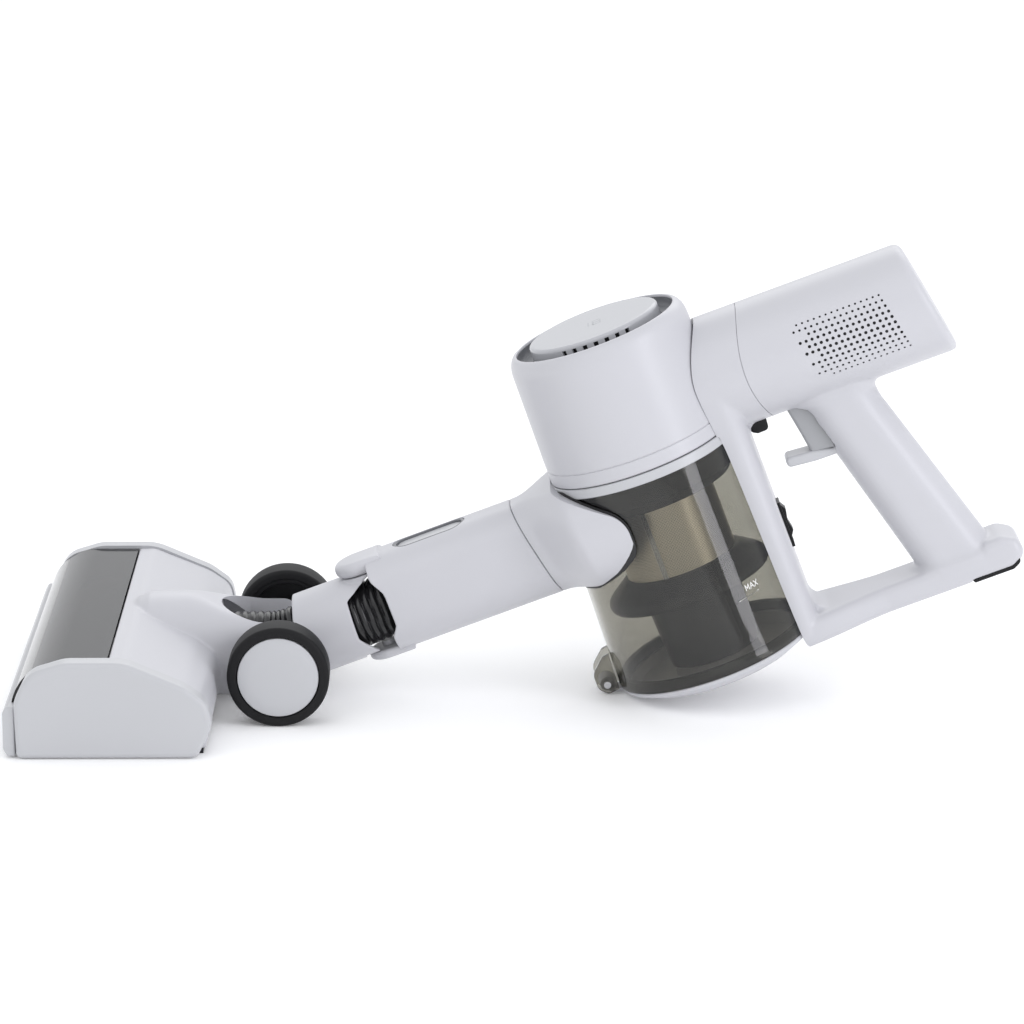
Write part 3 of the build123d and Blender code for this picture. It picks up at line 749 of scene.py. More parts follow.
# four corners of one side, then the four of the other
STRIP_FACES = [(0, 1, 2, 3), (4, 5, 6, 7), (0, 1, 5, 4), (1, 2, 6, 5), (2, 3, 7, 6), (3, 0, 4, 7)]


def level_mark():
    """The fill mark on the cup: three letters and a line, as raised strokes wrapped on its wall."""
    letters = (((0, 0, 0, 3), (0, 3, 1.1, 1), (1.1, 1, 2.2, 3), (2.2, 3, 2.2, 0)),
               ((0, 0, 1.2, 3), (1.2, 3, 2.4, 0), (0.5, 1, 1.9, 1)), ((0, 0, 2.2, 3), (0, 3, 2.2, 0)))
    left, low, pitch = 31.2, -82.8, 3.1
    strokes = [(left + pitch * k + a, low + b, left + pitch * k + c, low + d)
               for k, letter in enumerate(letters) for a, b, c, d in letter]
    strokes.append((25.0, -86.4, 38.6, -85.6))
    shapes, radius, half = [], cup_radius(-80), 0.22
    for a, b, c, d in strokes:
        along_line = Vector((c - a, d - b)).normalized() * half
        side = Vector((-along_line.y, along_line.x))
        corners = [Vector((a, b)) - along_line - side, Vector((c, d)) + along_line - side,
                   Vector((c, d)) + along_line + side, Vector((a, b)) - along_line + side]
        points = []
        for out in (0.02, 0.08):
            for corner in corners:
                angle, wall = corner.x / radius, cup_radius(corner.y) + out
                points.append((wall * math.sin(angle), -wall * math.cos(angle), corner.y))
        shapes.append(solid("stroke", points, STRIP_FACES, UPRIGHT, INK))
    return joined("level_mark", shapes)


along(level_mark(), "main")


def mesh_sleeve():
    radius, top, low, steps = 31.6, -23.4, -66.4, 128
    sleeve_piece = turned("cyclone_mesh",
                          [(radius, top), (radius, low), (radius - 0.7, low), (radius - 0.7, top)], UPRIGHT,
                          MESH_SHEET, steps=steps)
    mesh = sleeve_piece.data
    layer = mesh.uv_layers.new(name="wrap")
    hole_pitch = 0.85
    for polygon in mesh.polygons:
        angles = []
        for loop in polygon.loop_indices:
            point = upright_point(mesh.vertices[mesh.loops[loop].vertex_index].co)
            angles.append((math.atan2(point.y, point.x), point.z))
        far = max(angle for angle, level in angles)
        for loop, (angle, level) in zip(polygon.loop_indices, angles):
            angle += 2 * math.pi if far - angle > math.pi else 0
            layer.data[loop].uv = (angle * radius / hole_pitch, level / hole_pitch)
    return sleeve_piece


stand_in(mesh_sleeve(), "steel_mesh")


def mesh_seam():
    """The lapped seam of the mesh sleeve, a narrow strip down its side."""
    strip = []
    for angle in (-111.0, -105.6):
        for radius in (31.5, 32.1):
            strip.append((radius * math.cos(math.radians(angle)), radius * math.sin(math.radians(angle))))
    a, b, c, d = strip
    points = [(*p, z) for z in (-66, -23.6) for p in (a, b, d, c)]
    return solid("mesh_seam_strip", points, STRIP_FACES, UPRIGHT, STEEL)


along(mesh_seam(), "main")
skirt = turned("cyclone_skirt", [(30.9, -65.6), (33.0, -65.8), (34.6, -66.9), (44.8, -73.9), (46.2, -75.4),
                                 (46.7, -77.2), (46.5, -78.9), (45.6, -80.2), (44, -80.7), (27.2, -80.6),
                                 (27.2, -78.4), (42, -78.2), (43.8, -76.6), (32.0, -68.2)], UPRIGHT, DARK,
               steps=192)
stand_in(skirt, "shroud_skirt")
core = turned("cyclone_core_tube", [(27.3, -80.2), (27.2, -84), (26.6, -100), (26.0, -118), (25.4, -121.4),
                                    (24.4, -121.8), (24.2, -118), (25.1, -80.4)], UPRIGHT, DARK)
stand_in(core, "dust_tube")
seal = turned("door_gasket", [(55.0, -116.2), (55.0, -121.8), (51.6, -122.0), (51.0, -119.6), (51.6, -116.4),
                              (53.2, -115.8)], UPRIGHT, SEAL, steps=192)
stand_in(seal, "door_seal")


def door():
    outline = [(0, -130.3), (30, -130.3), (44.4, -130.3), (45.9, -130.0), (55.3, -125.2), (56.2, -124.2),
               (56.5, -122.9), (56.2, -122.3), (50, -122.3), (46.5, -127.6), (25, -128.0), (24, -122.4),
               (0, -122.4)]
    dish = turned("door_dish", outline, UPRIGHT, WHITE, steps=192)
    web = slab("door_web", corners_in([(-66.8, -119.5, 2), (-61, -123.8, 2), (-53, -126, 0.5),
                                       (-49, -122.6, 0.5), (-59, -122.4, 1), (-60, -118, 1)]), -5.8, 5.8,
               UPRIGHT, WHITE, edge=0.7)
    barrel = slab("door_barrel", [(-63.2 + 4 * x, -117.5 + 4 * z) for x, z in circle(1, 32)], -5.8, 5.8,
                  UPRIGHT, WHITE, edge=0.5)
    return joined("cup_door_cover", [dish, web, barrel])


stand_in(door(), "bottom_door")


# ---- duct and connector tube ----
def seam_u(z_off, gap=0.0):
    return TUBE_SEAM - math.tan(TUBE_SEAM_LEAN) * z_off + gap


def duct_section(share, grow=0.0):
    """The duct's section at a share of its way from the tube to the cup: it swells into a wide wrap."""
    swell = eased((share - 0.02) / 0.42)
    half_wide = TUBE_W / 2 + 27.3 * swell + grow
    half_high = TUBE_H / 2 + 1.7 * swell + grow
    corner = TUBE_ROUND + 6.5 * swell + grow
    return section(2 * half_wide, 2 * half_high, corner), TUBE_AXIS + 2.0 * swell


def duct_body(name, grow, material):
    rings, rows, end = [], 40, -8.0
    first, height = duct_section(0, grow - 0.5)
    rings.append([(seam_u(z, 0.15), y, z + height) for y, z in first])
    for row in range(rows + 1):
        share = row / rows
        ring, height = duct_section(share, grow)
        rings.append([((seam_u(z) + 0.6) * (1 - share) + end * share, y, z + height) for y, z in ring])
    return loft(name, rings, UPRIGHT, material)


def tip_prism(grow):
    """Limits the duct's wrap to a rounded tongue as seen from the side."""
    rear = -18.9 + grow
    upper, lower = 0.645, -0.49
    top_corner, low_corner = -20.5 + grow, -42.3 - grow
    reach = rear + 100
    line = [(-100, top_corner + upper * reach, 0), (rear, top_corner, 16 + grow),
            (rear, low_corner, 14 + grow), (-100, low_corner + lower * reach, 0)]
    return slab("tip_tool", rounded(line, steps=16), -80, 80, UPRIGHT, WHITE, edge=0)


def drum(name, gap):
    outline = [(0, 40), (HOUSING_R + gap + 0.25, 40), (HOUSING_R + gap + 0.25, -0.2),
               (CUP_TOP_R + gap, -0.3), (CUP_FOOT_R + gap, CUP_FOOT), (0, CUP_FOOT)]
    return turned(name, outline, UPRIGHT, WHITE, steps=192)


duct = kept_inside(duct_body("intake_duct", 0.0, WHITE), tip_prism(0))
duct = cut(duct, [drum("cup_tool", 0.25)])
stand_in(duct, "inlet_duct")
gasket = turned("duct_gasket", [(CUP_TOP_R + 0.05, -0.6), (CUP_TOP_R + 1.0, -0.6),
                                (cup_radius(-64) + 0.9, -64), (cup_radius(-64) + 0.05, -64)], UPRIGHT, SEAL,
                steps=192)
gasket = kept_inside(gasket, duct_body("gasket_tool", 1.1, SEAL))
gasket = smooth(kept_inside(gasket, tip_prism(1.1)))
along(gasket, "main")


def tube_start(y, z):
    return -159.6 - 5.4 * eased((z - 8) / 12) - 4.0 * eased((-z - 9) / 8)


tube = sleeve("connector_sleeve",
              lambda inset: section(TUBE_W - 2 * inset, TUBE_H - 2 * inset, TUBE_ROUND - inset), TUBE_AXIS,
              tube_start, lambda y, z: seam_u(z, -0.15), 2.4, UPRIGHT, WHITE)
lug_top = TUBE_AXIS + TUBE_H / 2


def stadium(x0, x1, half, grow=0.0, steps=16):
    """A slot outline along X as (x, y) points."""
    radius = half + grow
    right = [(x1 - half + radius * math.cos(a), radius * math.sin(a))
             for a in (math.radians(-90 + 180 * k / steps) for k in range(steps + 1))]
    left = [(x0 + half + radius * math.cos(a), radius * math.sin(a))
            for a in (math.radians(90 + 180 * k / steps) for k in range(steps + 1))]
    return right + left


BUTTON_HALF = 9.6


def sagged(piece):
    """Lets a flat piece follow the tube's round top."""
    flat_half = TUBE_W / 2 - TUBE_ROUND
    for vertex in piece.data.vertices:
        point = TO_UPRIGHT @ vertex.co
        beyond = max(0.0, abs(point.y) - flat_half)
        point.z -= TUBE_ROUND - math.sqrt(TUBE_ROUND ** 2 - beyond ** 2)
        vertex.co = UPRIGHT @ point
    return piece


slot_tool = slab("button_tool", stadium(-148, -105, BUTTON_HALF), lug_top - 8, lug_top + 4, UPRIGHT,
                 MID_GREY, edge=0, plane="XY")
stand_in(cut(tube, [slot_tool]), "connector_tube")


def framed(name, outer, inner, low, high, place, material, edge=0.35):
    """A flat ring between two like outlines, lying in XY with softened rims."""
    def at(line, level):
        return [(x, y, level) for x, y in line]
    soft_outer, soft_inner = offset(outer, edge), offset(inner, -edge)
    rings = [at(outer, low), at(outer, high - edge), at(soft_outer, high), at(soft_inner, high),
             at(inner, high - edge), at(inner, low)]
    return loft(name, rings, place, material, loop=True)


bezel = framed("button_frame", stadium(-148, -105, BUTTON_HALF, -0.1),
               stadium(-148, -105, BUTTON_HALF, -2.0), lug_top - 4, lug_top - 0.3, UPRIGHT, MID_GREY)
stand_in(sagged(bezel), "button_bezel")
button = slab("release_button", stadium(-148, -105, BUTTON_HALF, -2.2), lug_top - 4, lug_top - 1.6, UPRIGHT,
              PALE, edge=0.8, plane="XY")
stand_in(sagged(button), "tube_button")


def tongue(name, low, high, tip, edge):
    line = [(tip + 13 - 13 * math.cos(a), 13 * math.sin(a)) for a in
            (math.radians(-90 + 180 * k / 24) for k in range(25))]
    line = line + [(-155, 13), (-155, -13)]
    return slab(name, line, low, high, UPRIGHT, WHITE, edge=edge, plane="XY")


lugs = joined("yaw_tongues", [tongue("upper_tongue", -9.2, -1.0, -183, 3.4),
                              tongue("lower_tongue", -59.3, -54.0, -182, 1.8)])
stand_in(lugs, "yaw_lugs")


# ---- barrel and handle ----
def barrel_rear(z):
    return BARREL_END - math.tan(BARREL_LEAN) * z


def barrel():
    """The round body from the motor housing to the slanted rear face with its soft rim."""
    def ring(radius, x_of):
        return [(x_of(y, z), y, z + BARREL_AXIS) for y, z in circle(radius, 160)]

    front, rim, rows = 30, 4, 40
    rings = []
    for row in range(rows + 1):
        share = row / rows
        rings.append(ring(BARREL_R, lambda y, z: front * (1 - share) + (barrel_rear(z) - rim) * share))
    for k in range(1, 7):
        angle = math.pi / 2 * k / 6
        rings.append(ring(BARREL_R - rim * (1 - math.cos(angle)),
                          lambda y, z: barrel_rear(z) - rim * (1 - math.sin(angle))))
    return loft("barrel", rings, UPRIGHT, WHITE)


def seam_ring():
    """A thin ring that scores the seam between saddle and barrel."""
    rings, gap = [], 0.16
    for y, z in circle(1, 160):
        seam = math.sqrt(BARREL_SEAM_R ** 2 - (BARREL_R * y) ** 2)
        rings.append([(seam + side * gap, r * y, r * z + BARREL_AXIS)
                      for side, r in ((-1, 32.2), (-1, 35), (1, 35), (1, 32.2))])
    return loft("seam_tool", rings, UPRIGHT, MID_GREY, loop=True)


HOLE_FLOOR = BARREL_R - 2.2


def grille_spots(side, slack=0.0):
    """Holes of the exhaust grille: rows round the barrel, staggered, largest in the middle row."""
    counts = (15, 16, 14, 16, 15, 16, 14, 16, 15, 16, 14)
    pitch, row_step = 3.39, math.radians(5.9)
    spots = []
    for row, count in enumerate(counts):
        angle = (5 - row) * row_step
        y, z = -side * math.cos(angle), math.sin(angle)
        last = 152.2 + 7.1 * row / 10
        radius = 0.55 + 0.40 * math.cos(math.pi / 2 * (row - 5) / 6.5) ** 1.5
        for k in range(count):
            spots.append(((last - pitch * k, y * HOLE_FLOOR, BARREL_AXIS + z * HOLE_FLOOR), (0, y, z),
                          radius - slack))
    return spots


def corner_fill(corner, first, second, radius, low, high):
    """Fills the inner corner between two directions with a round of that radius."""
    corner = Vector(corner)
    a, b = corner + Vector(first).normalized() * 40, corner + Vector(second).normalized() * 40
    arc_line = rounded([tuple(a), (*corner, radius), tuple(b)], steps=10)[1:-1]
    inside = corner - (Vector(first).normalized() + Vector(second).normalized()) * 1.5
    return slab("corner_fill", [tuple(inside)] + arc_line, low, high, UPRIGHT, WHITE, edge=0)


def fillet_reach(distance, radius):
    """How far a round of that radius stands out at a distance from the face it runs into."""
    gap = radius - min(radius, max(0.0, distance))
    return radius - math.sqrt(max(0.0, radius * radius - gap * gap))


def grip():
    """Horizontal rings down the leaning grip; it spreads into the barrel above and the foot arm below."""
    rings = []
    levels = [6, 2, -2] + [-4 - k * 1.2 for k in range(10)] + [-18 - k * 8 for k in range(11)]
    levels += [-108 - k * 1.5 for k in range(7)] + [-124]
    for level in levels:
        down = -22 - level
        top_share = eased((level + 26) / 18)
        middle = (116.6 + 0.288 * down) * (1 - top_share) + (113.9 - 0.1 * (level + 8)) * top_share
        half_deep = 20.2 + 0.018 * max(0, down)
        foot = fillet_reach(level + 117, 5)
        front, rear = fillet_reach(-6 - level, 8) + foot, fillet_reach(-6 - level, 4) + foot
        half_wide = 16.5
        spread = 1 + (0.2 * fillet_reach(-2 - level, 9) + 0.4 * foot) / half_wide
        ring = section(2 * half_deep, 2 * half_wide, half_wide - 1.4, steps=10)
        rings.append([(middle + x + (front if x < 0 else rear) * x / half_deep, y * spread, level)
                      for x, y in ring])
    piece = loft("grip", rings, UPRIGHT, WHITE)
    return cut(piece, [block("trigger_tool", (74, 111.2, -8.6, 8.6, -33.5, 12), UPRIGHT, WHITE)])


STRUT_REAR, ARM_TOP = 60.6, -117.0


def strut():
    """The broad back plate behind the cup; its sides spread into the barrel."""
    rings = []
    levels = [-131.9, -131.4, -130.4, -129, -127, -125]
    levels += [-120 + 10 * k for k in range(12)] + [-4, 4, 12, 20, 27]
    foot_round, foot_start = 9, -122.9
    for level in levels:
        tuck = foot_round - math.sqrt(max(0, foot_round ** 2 - max(0, foot_start - level) ** 2))
        half = 29 + 3.9 * eased((level + 14) / 41) + 1.5 * eased((-14 - level) / 100) - tuck
        rear = STRUT_REAR - 0.4 * tuck
        outline = rounded([(34, -half, 1), (rear, -half, 11), (rear, half, 11),
                           (34, half, 1)], steps=8)
        rings.append([(x, y, level) for x, y in outline])
    return loft("strut", rings, UPRIGHT, WHITE)


def gusset():
    """The foot arm's wide root, narrowing away from the strut."""
    rings = []
    low, high = -132, ARM_TOP
    for k in range(21):
        x = 46 + 3.2 * k
        half = 17.6 + 12.0 * (1 - eased((x - 46) / 62))
        rings.append([(x, y, z + (low + high) / 2) for y, z in section(2 * half, high - low, 5)])
    return loft("gusset", rings, UPRIGHT, WHITE)


def handle():
    """Strut, grip, foot arm and round body as one skin, with its seam, grille and slider bed cut in."""
    arm = slab("arm", corners_in([(50, -132, 0.5), (146, -132, 2), (149, -131.2, 2), (172, -131.2, 5),
                                  (180.4, -126.5, 6), (179.2, -117, 7), (170.5, -112, 9), (159, -112.5, 6),
                                  (156, ARM_TOP, 4), (50, ARM_TOP, 0.5)]),
               -18, 18, UPRIGHT, WHITE, edge=4.5, steps=6)
    fills = [corner_fill((STRUT_REAR, ARM_TOP), (0, 1), (1, 0), 9, -17, 17),
             corner_fill((STRUT_REAR, -5.5), (0, -1), (1, 0), 3, -20, 20)]
    whole = moulded_union("handle_frame", [strut(), barrel(), arm, gusset(), grip(), *fills], 1.05, 6, WHITE)
    room = turned("cup_room", [(0, 90), (HOUSING_R + 0.2, 90), (HOUSING_R + 0.2, -0.3),
                               (CUP_TOP_R + 0.3, -0.35), (CUP_FOOT_R + 0.3, CUP_FOOT),
                               (CUP_FOOT_R + 0.3, -150), (0, -150)], UPRIGHT, WHITE,
                  steps=192)
    bed = block("slider_tool", (58.5, 64, -6.2, 6.2, -80, -53), UPRIGHT, WHITE)
    grille = [pegs("grille_tool", grille_spots(side), 8, UPRIGHT, BLACK, sides=12) for side in (1, -1)]
    return cut(whole, [room, bed, seam_ring(), *grille])


stand_in(handle(), "handle_left", "handle_right", "barrel_saddle", "barrel_shell")
# black discs set just below the floor of each grille hole: painted shade that stands for the dark inside of
# the open holes
for side, hand in ((1, "right"), (-1, "left")):
    hole_shade_discs = pegs(f"grille_plugs_{hand}", grille_spots(side, 0.02), 1.8, UPRIGHT, BLACK, sides=12)
    along(hole_shade_discs, "main")


# ---- controls ----
def trigger_shape():
    line = corners_in([(83.2, -2.5, 1), (86.2, -19, 22), (88.4, -32.8, 2), (103, -34.2, 2), (103, -2.5, 1)],
                      steps=10)
    return slab("trigger_lever", line, -7.8, 7.8, UPRIGHT, LEVER_GREY, edge=2.2, steps=6)


def finger_fin():
    line = corners_in([(73.2, -30.2, 2.5), (88, -31.4, 12), (104, -34.8, 0.5), (104, -37.9, 0.5),
                       (89, -37.7, 12), (73.6, -36.1, 2.5)], steps=8)
    return slab("finger_fin", line, -8, 8, UPRIGHT, PALE, edge=1.6, steps=6)


stand_in(trigger_shape(), "trigger")
pivot = upright_point(joints["trigger_pull"]["pos_m"])
pin = turned("trigger_pivot", [(0, -7), (1.2, -7), (1.2, 7), (0, 7)], UPRIGHT, STEEL, (pivot.x, pivot.z), 32,
             "Y")
stand_in(pin, "trigger_pin")
stand_in(finger_fin(), "finger_rest")
knob = slab("mode_knob", corners_in([(61.0, -3, 1.6), (60.9, -10.8, 2.6), (64.4, -12.7, 2.4),
                                     (70.9, -12.5, 2.4), (71.7, -3, 1.6)]), -4.6, 4.6, UPRIGHT, BLACK,
            edge=1.5)
stand_in(knob, "mode_button")


def slider_parts():
    frame_piece = block("slider_frame", (58.6, 62.2, -6, 6, -79.8, -53.2), UPRIGHT, BLACK)
    frame_piece = cut(frame_piece, [block("slider_hole", (58, 64, -4.4, 4.4, -78.2, -54.8), UPRIGHT, BLACK)])
    line = corners_in([(58.8, -74.5, 0.6), (58.8, -55.4, 0.6), (62.2, -55.4, 0.8), (64.2, -58.5, 1.2),
                       (63.0, -65, 3), (64.2, -71.2, 1.2), (62.2, -74.5, 0.8)])
    slider = slab("slider_knob", line, -4.1, 4.1, UPRIGHT, BLACK, edge=0.5)
    return frame_piece, slider


frame_piece, slider = slider_parts()
stand_in(frame_piece, "slider_bezel")
stand_in(slider, "release_slider")
contacts = slab("charge_strip", corners_in([(147.5, -129, 0.6), (148.5, -132.2, 1), (171.5, -132.2, 3),
                                            (179.0, -128.4, 3), (176, -126, 1)]), -16.6, 16.6, UPRIGHT,
                BLACK, edge=0.5)
stand_in(contacts, "charge_contacts")


# ---- neck and hose ----
def softened_copy(node, name, material, cell, passes):
    mesh = nodes[node].data.copy()
    shape = bmesh.new()
    shape.from_mesh(mesh)
    bmesh.ops.remove_doubles(shape, verts=shape.verts, dist=2e-6)
    shape.to_mesh(mesh)
    shape.free()
    return moulded_union(name, [placed(name + "_source", mesh)], cell, passes, material)


stand_in(softened_copy("neck_tube", "neck_cover", WHITE, 0.6, 3), "neck_tube")


HOSE_PITCH, RIB_STEPS = 4.4, 8           # the length of one rib, and the rings drawn along it


def hose_ring(centre, up, phase):
    """One ring of the ribbed hose; the phase counts ribs along it."""
    radius = HOSE_R - 1.7 + 1.6 * math.sqrt(max(0.0, math.sin(math.pi * (phase % 1.0))))
    return [tuple(centre + across * y * radius + up * z * radius) for y, z in circle(1, 64)]


def hose(name, path, place):
    """A ribbed hose along straight legs given as (point, direction, length)."""
    rings, travelled = [], 0.0
    for start, way, length in path:
        way = Vector(way).normalized()
        up = across.cross(way)
        steps = int(length / HOSE_PITCH * RIB_STEPS)
        for k in range(steps + 1):
            s = length * k / steps
            phase = (travelled + s) / HOSE_PITCH
            centre = Vector(start) + way * s
            rings.append(hose_ring(centre, up, phase))
        travelled += length
    return loft(name, rings, place, HOSE)


HOSE_SPLIT = -205.0
rear_hose = hose("ribbed_hose_rear", [((HOSE_SPLIT, 0, NECK_AXIS), (1, 0, 0), -150 - HOSE_SPLIT)], UPRIGHT)
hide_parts("hose_rear")
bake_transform(rear_hose)


def bent_hose():
    """From the head's throat, round the bend at the axle and up the neck."""
    front = Vector((-219, 0, axle_mm.z))
    bend_radius = 40.0
    lean = math.atan2(rearward.z, rearward.x)
    reach = bend_radius * math.tan(lean / 2)
    far = (UPRIGHT @ Vector((HOSE_SPLIT, 0, NECK_AXIS))) / MM
    total_front = axle_mm.x - reach - front.x
    arc_length = bend_radius * lean
    total_rear = (far - axle_mm).length - reach
    whole = total_front + arc_length + total_rear
    rings = []
    steps = int(whole / HOSE_PITCH * RIB_STEPS)
    for k in range(steps + 1):
        s = whole * k / steps
        if s < total_front:
            centre, angle = front + Vector((s, 0, 0)), 0.0
        elif s < total_front + arc_length:
            angle = (s - total_front) / bend_radius
            centre = Vector((axle_mm.x - reach + bend_radius * math.sin(angle), 0,
                             axle_mm.z + bend_radius * (1 - math.cos(angle))))
        else:
            angle = lean
            way = Vector((math.cos(lean), 0, math.sin(lean)))
            centre = axle_mm + way * (reach + s - total_front - arc_length)
        up = Vector((-math.sin(angle), 0, math.cos(angle)))
        rings.append(hose_ring(centre, up, s / HOSE_PITCH))
    return loft("ribbed_hose_front", rings, LEVEL, HOSE)


front_hose = bent_hose()
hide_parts("hose_front")
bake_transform(front_hose)


# ---- brush head ----
HEAD_LINE = [(-222.4, 2.6, 0.5), (-222.4, 51.8, 0.5), (-213.4, 52.3, 10), (-181.3, 38.9, 26),
             (-169.4, 30.5, 12), (-167.4, 18.1, 12), (-171, 2.6, 1)]
CAP_LINE = [(-271.4, 0.5, 3), (-272.4, 31.5, 15), (-264.5, 47.5, 15), (-245, 53.4, 24), (-213, 53.4, 30),
            (-181, 39.6, 26), (-168.8, 30.5, 12), (-166.4, 18, 14), (-175, 0.5, 6)]
COVER_HALF = HEAD_HALF - CAP_T
NECK_LEVEL = 28.0                        # the neck's trough lies about a line this far above the floor


def cowl():
    """The middle of the head: a dome that runs back into the open trough of the neck."""
    def rear(z):
        return -119 - 8 * max(0, z - 28) / 21 - 7 * (max(0, 16 - z) / 16) ** 2

    rings = []
    for x, r in ((-222, 8), (-221, 16), (-218.5, 22), (-214, 26.5), (-208, 29.0), (-200, 29.7)):
        rings.append([(x, y * r, NECK_LEVEL + z * r) for y, z in outline_ring(1, 1, 1)])
    front, rows = -194, 26
    for row in range(rows + 1):
        share = row / rows
        change = eased((share - 0.12) / 0.45)
        half, top, corner = 29.7 - 1.0 * change, 29.7 - 7.5 * change, 29.7 - 17.0 * change
        tuck = 2.5 * eased((share - 0.9) / 0.1)
        rings.append([(front + (rear(NECK_LEVEL + z) - front) * share, y, NECK_LEVEL + z)
                      for y, z in outline_ring(half - tuck, top - tuck, corner)])
    return loft("cowl", rings, LEVEL, WHITE)


def outline_ring(half, top, corner, steps=24):
    """A ring of (y, z): a half circle below, walls up to the top, and rounded upper corners."""
    ring = []
    corner = min(corner, half, top)
    for k in range(steps + 1):
        angle = math.pi / 2 * k / steps
        ring.append((half - corner + corner * math.cos(angle), top - corner + corner * math.sin(angle)))
    ring += [(-y, z) for y, z in reversed(ring)]
    for k in range(1, 2 * steps):
        angle = math.pi + math.pi * k / (2 * steps)
        ring.append((half * math.cos(angle), half * math.sin(angle)))
    return ring


TROUGH_R, THROAT_R = 24.6, 18.3          # the trough that clears the neck, and the hose's way in


def bore(name, radius, front, rear):
    """A round tool along X, on the axle's line."""
    rings = [[(x, y * radius, axle_mm.z + z * radius) for y, z in circle(1, 96)] for x in (front, rear)]
    return loft(name, rings, LEVEL, WHITE)


def cover():
    """Body of the head with its central cowl: shoulders, domed middle and the walls of the neck's trough."""
    shoulders = slab("shoulders", rounded(HEAD_LINE, steps=10), -COVER_HALF, COVER_HALF, LEVEL, WHITE,
                     edge=0)
    middle = cut(cowl(), [block("floor_tool", (-230, -100, -40, 40, -20, 0.9), LEVEL, WHITE)])
    boss_line = [(axle_mm.x + 9 * x, axle_mm.z + 9 * z) for x, z in circle(1, 48)]
    bosses = [slab("boss", boss_line, low, high, LEVEL, WHITE, edge=0.5)
              for low, high in ((26, 49), (-49, -26))]
    whole = moulded_union("head_cover", [shoulders, middle, *bosses], 0.85, 7, WHITE)
    room = bore("room", TROUGH_R, -168, -90)
    above = slab("room_above", stadium(-168, -60, TROUGH_R, steps=24), NECK_LEVEL, 90, LEVEL, WHITE, edge=0,
                 plane="XY")
    throat = bore("throat", THROAT_R, -215, -160)
    return cut(whole, [room, above, throat])


stand_in(cover(), "head_shell", "neck_cowl")
for side, low, high in (("left", COVER_HALF, HEAD_HALF), ("right", -HEAD_HALF, -COVER_HALF)):
    end_cap = slab(f"head_end_{side}", corners_in(CAP_LINE, steps=12), low, high, LEVEL, PALE, edge=3.0,
                   steps=8, rims=(side == "right", side == "left"))
    stand_in(end_cap, f"end_cap_{side}")


def window():
    """The smoked roof over the roller, curved at the front and flat to its straight rear edge."""
    x, z, outer, inner = roller_mm.x, roller_mm.z + 0.5, 28.2, 26.2
    half = COVER_HALF - 0.3
    start = math.degrees(math.asin((28.8 - z) / outer))
    inner_start = math.degrees(math.asin((28.8 - z) / inner))
    line = arc((x, z), outer, 180 - start, 90, 32) + [(-222.9, z + outer), (-222.9, z + inner)]
    line += arc((x, z), inner, 90, 180 - inner_start, 32)
    return slab("roller_window", line, -half, half, LEVEL, CLEAR_WINDOW, edge=0)


stand_in(window(), "head_window")
bumper = slab("front_strip", corners_in([(-272.1, 1.2, 0.5), (-276.4, 1.2, 1.5), (-278.6, 5, 3),
                                         (-278.6, 25, 2.4), (-276.6, 28.6, 1.6), (-272.1, 28.6, 0.5)]), -124,
              124, LEVEL, PALE, edge=1.2)
stand_in(bumper, "front_bumper")


def bristle_spots():
    spots, rows, count = [], 2, 560
    for row in range(rows):
        for k in range(count):
            share = k / (count - 1)
            for lane in (-1.3, 0.0, 1.3):
                angle = math.radians(row * 180 + 234 * share + lane * 4.2)
                sway = 0.05 * math.sin(97.0 * k + 31.0 * lane)
                out = (math.sin(angle + sway), 0.04 * math.sin(53.0 * k), math.cos(angle + sway))
                base = (roller_mm.x + 12.0 * math.sin(angle), -104 + 206 * share,
                        roller_mm.z + 12.0 * math.cos(angle))
                spots.append((base, out, 0.28))
    return spots


bristles = pegs("brush_bristles", bristle_spots(), 9.4, LEVEL, BRISTLE, sides=4, taper=0.5)
stand_in(bristles, "brush_tufts")


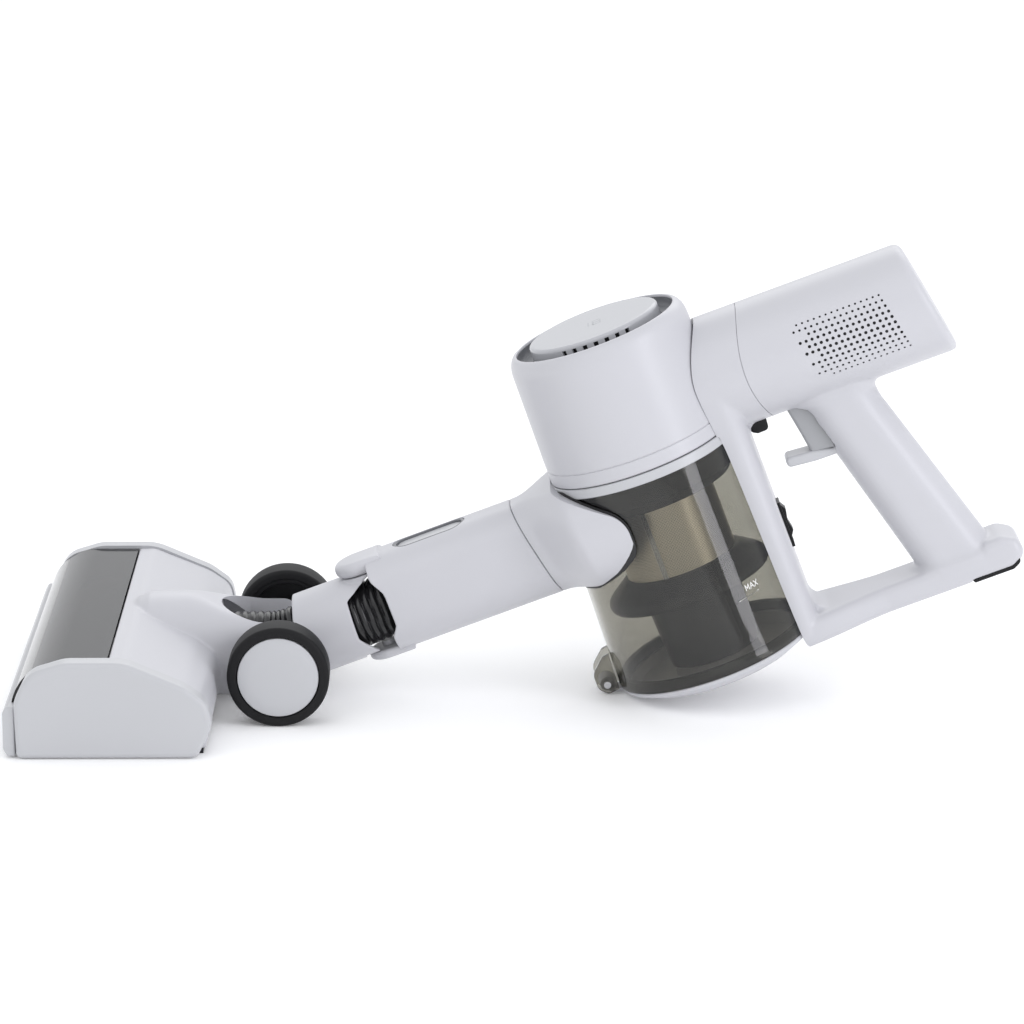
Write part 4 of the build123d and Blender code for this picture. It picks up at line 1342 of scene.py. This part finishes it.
# ---- wheels ----
def wheel(side, sign):
    centre = (axle_mm.x, axle_mm.z)
    inner, outer = WHEEL_OUT - WHEEL_W, WHEEL_OUT

    def across_wheel(outline):
        return [(radius, sign * level) for radius, level in outline]
    flat, soft = 25.6, 2.4               # the reach of the tyre's flat side, and the round of its edges
    tyre_line = [(HUB_R, outer - 0.9), (23.0, outer), (flat, outer)]
    tyre_line += [(flat + soft * math.sin(a), outer - soft + soft * math.cos(a))
                  for a in (math.pi / 2 * k / 6 for k in range(1, 7))]
    tyre_line += [(28, (inner + outer) / 2)]
    tyre_line += [(flat + soft * math.cos(a), inner + soft - soft * math.sin(a))
                  for a in (math.pi / 2 * k / 6 for k in range(7))]
    tyre_line += [(23.6, inner), (HUB_R, inner + 0.8)]
    tyre = turned(f"tyre_ring_{side}", across_wheel(tyre_line), LEVEL, RUBBER, centre, 160, "Y")
    stand_in(tyre, f"tyre_{side}")
    cap_line = [(0, outer - 0.3), (8, outer - 0.3), (15, outer - 0.32), (21.4, outer - 0.4),
                (22.0, outer - 0.7), (22.2, outer - 1.4), (22.2, outer - 3.4), (0, outer - 3.4)]
    hub_cap = turned(f"hub_cap_{side}", across_wheel(cap_line), LEVEL, PALE, centre, 160, "Y")
    stand_in(hub_cap, f"hub_{side}")
    core_line = [(3.2, outer - 4.2), (HUB_R - 0.1, outer - 4.2), (HUB_R - 0.1, inner + 1.6),
                 (20.6, inner + 1.6), (20.0, inner + 2.4), (19.6, outer - 8), (7, outer - 8),
                 (6.6, inner + 2), (3.2, inner + 2)]
    core_piece = turned(f"wheel_core_{side}", across_wheel(core_line), LEVEL, BLACK, centre, 96, "Y")
    along(core_piece, f"wheel_{side}")


wheel("left", 1)
wheel("right", -1)

# ---- CAD pieces kept as they are, with their finishes ----
FINISHES = {
    "display_board": BOARD, "control_board": BOARD, "fan_motor": STEEL, "brush_motor": STEEL,
    "motor_bulkhead": DARK, "housing_base": DARK, "impeller": MID_GREY, "filter": PAPER, "door_pin": STEEL,
    "yaw_pins": WHITE, "pitch_pins": STEEL, "wheel_axles": STEEL, "trigger_spring": STEEL,
    "battery_cells": CELL, "sole_plate": DARK, "roller_bearings": STEEL, "drive_belt": SEAL,
    "brush_roller": DARK, "motor_pulley": STEEL,
}
for name, material in FINISHES.items():
    finish_node(name, material)
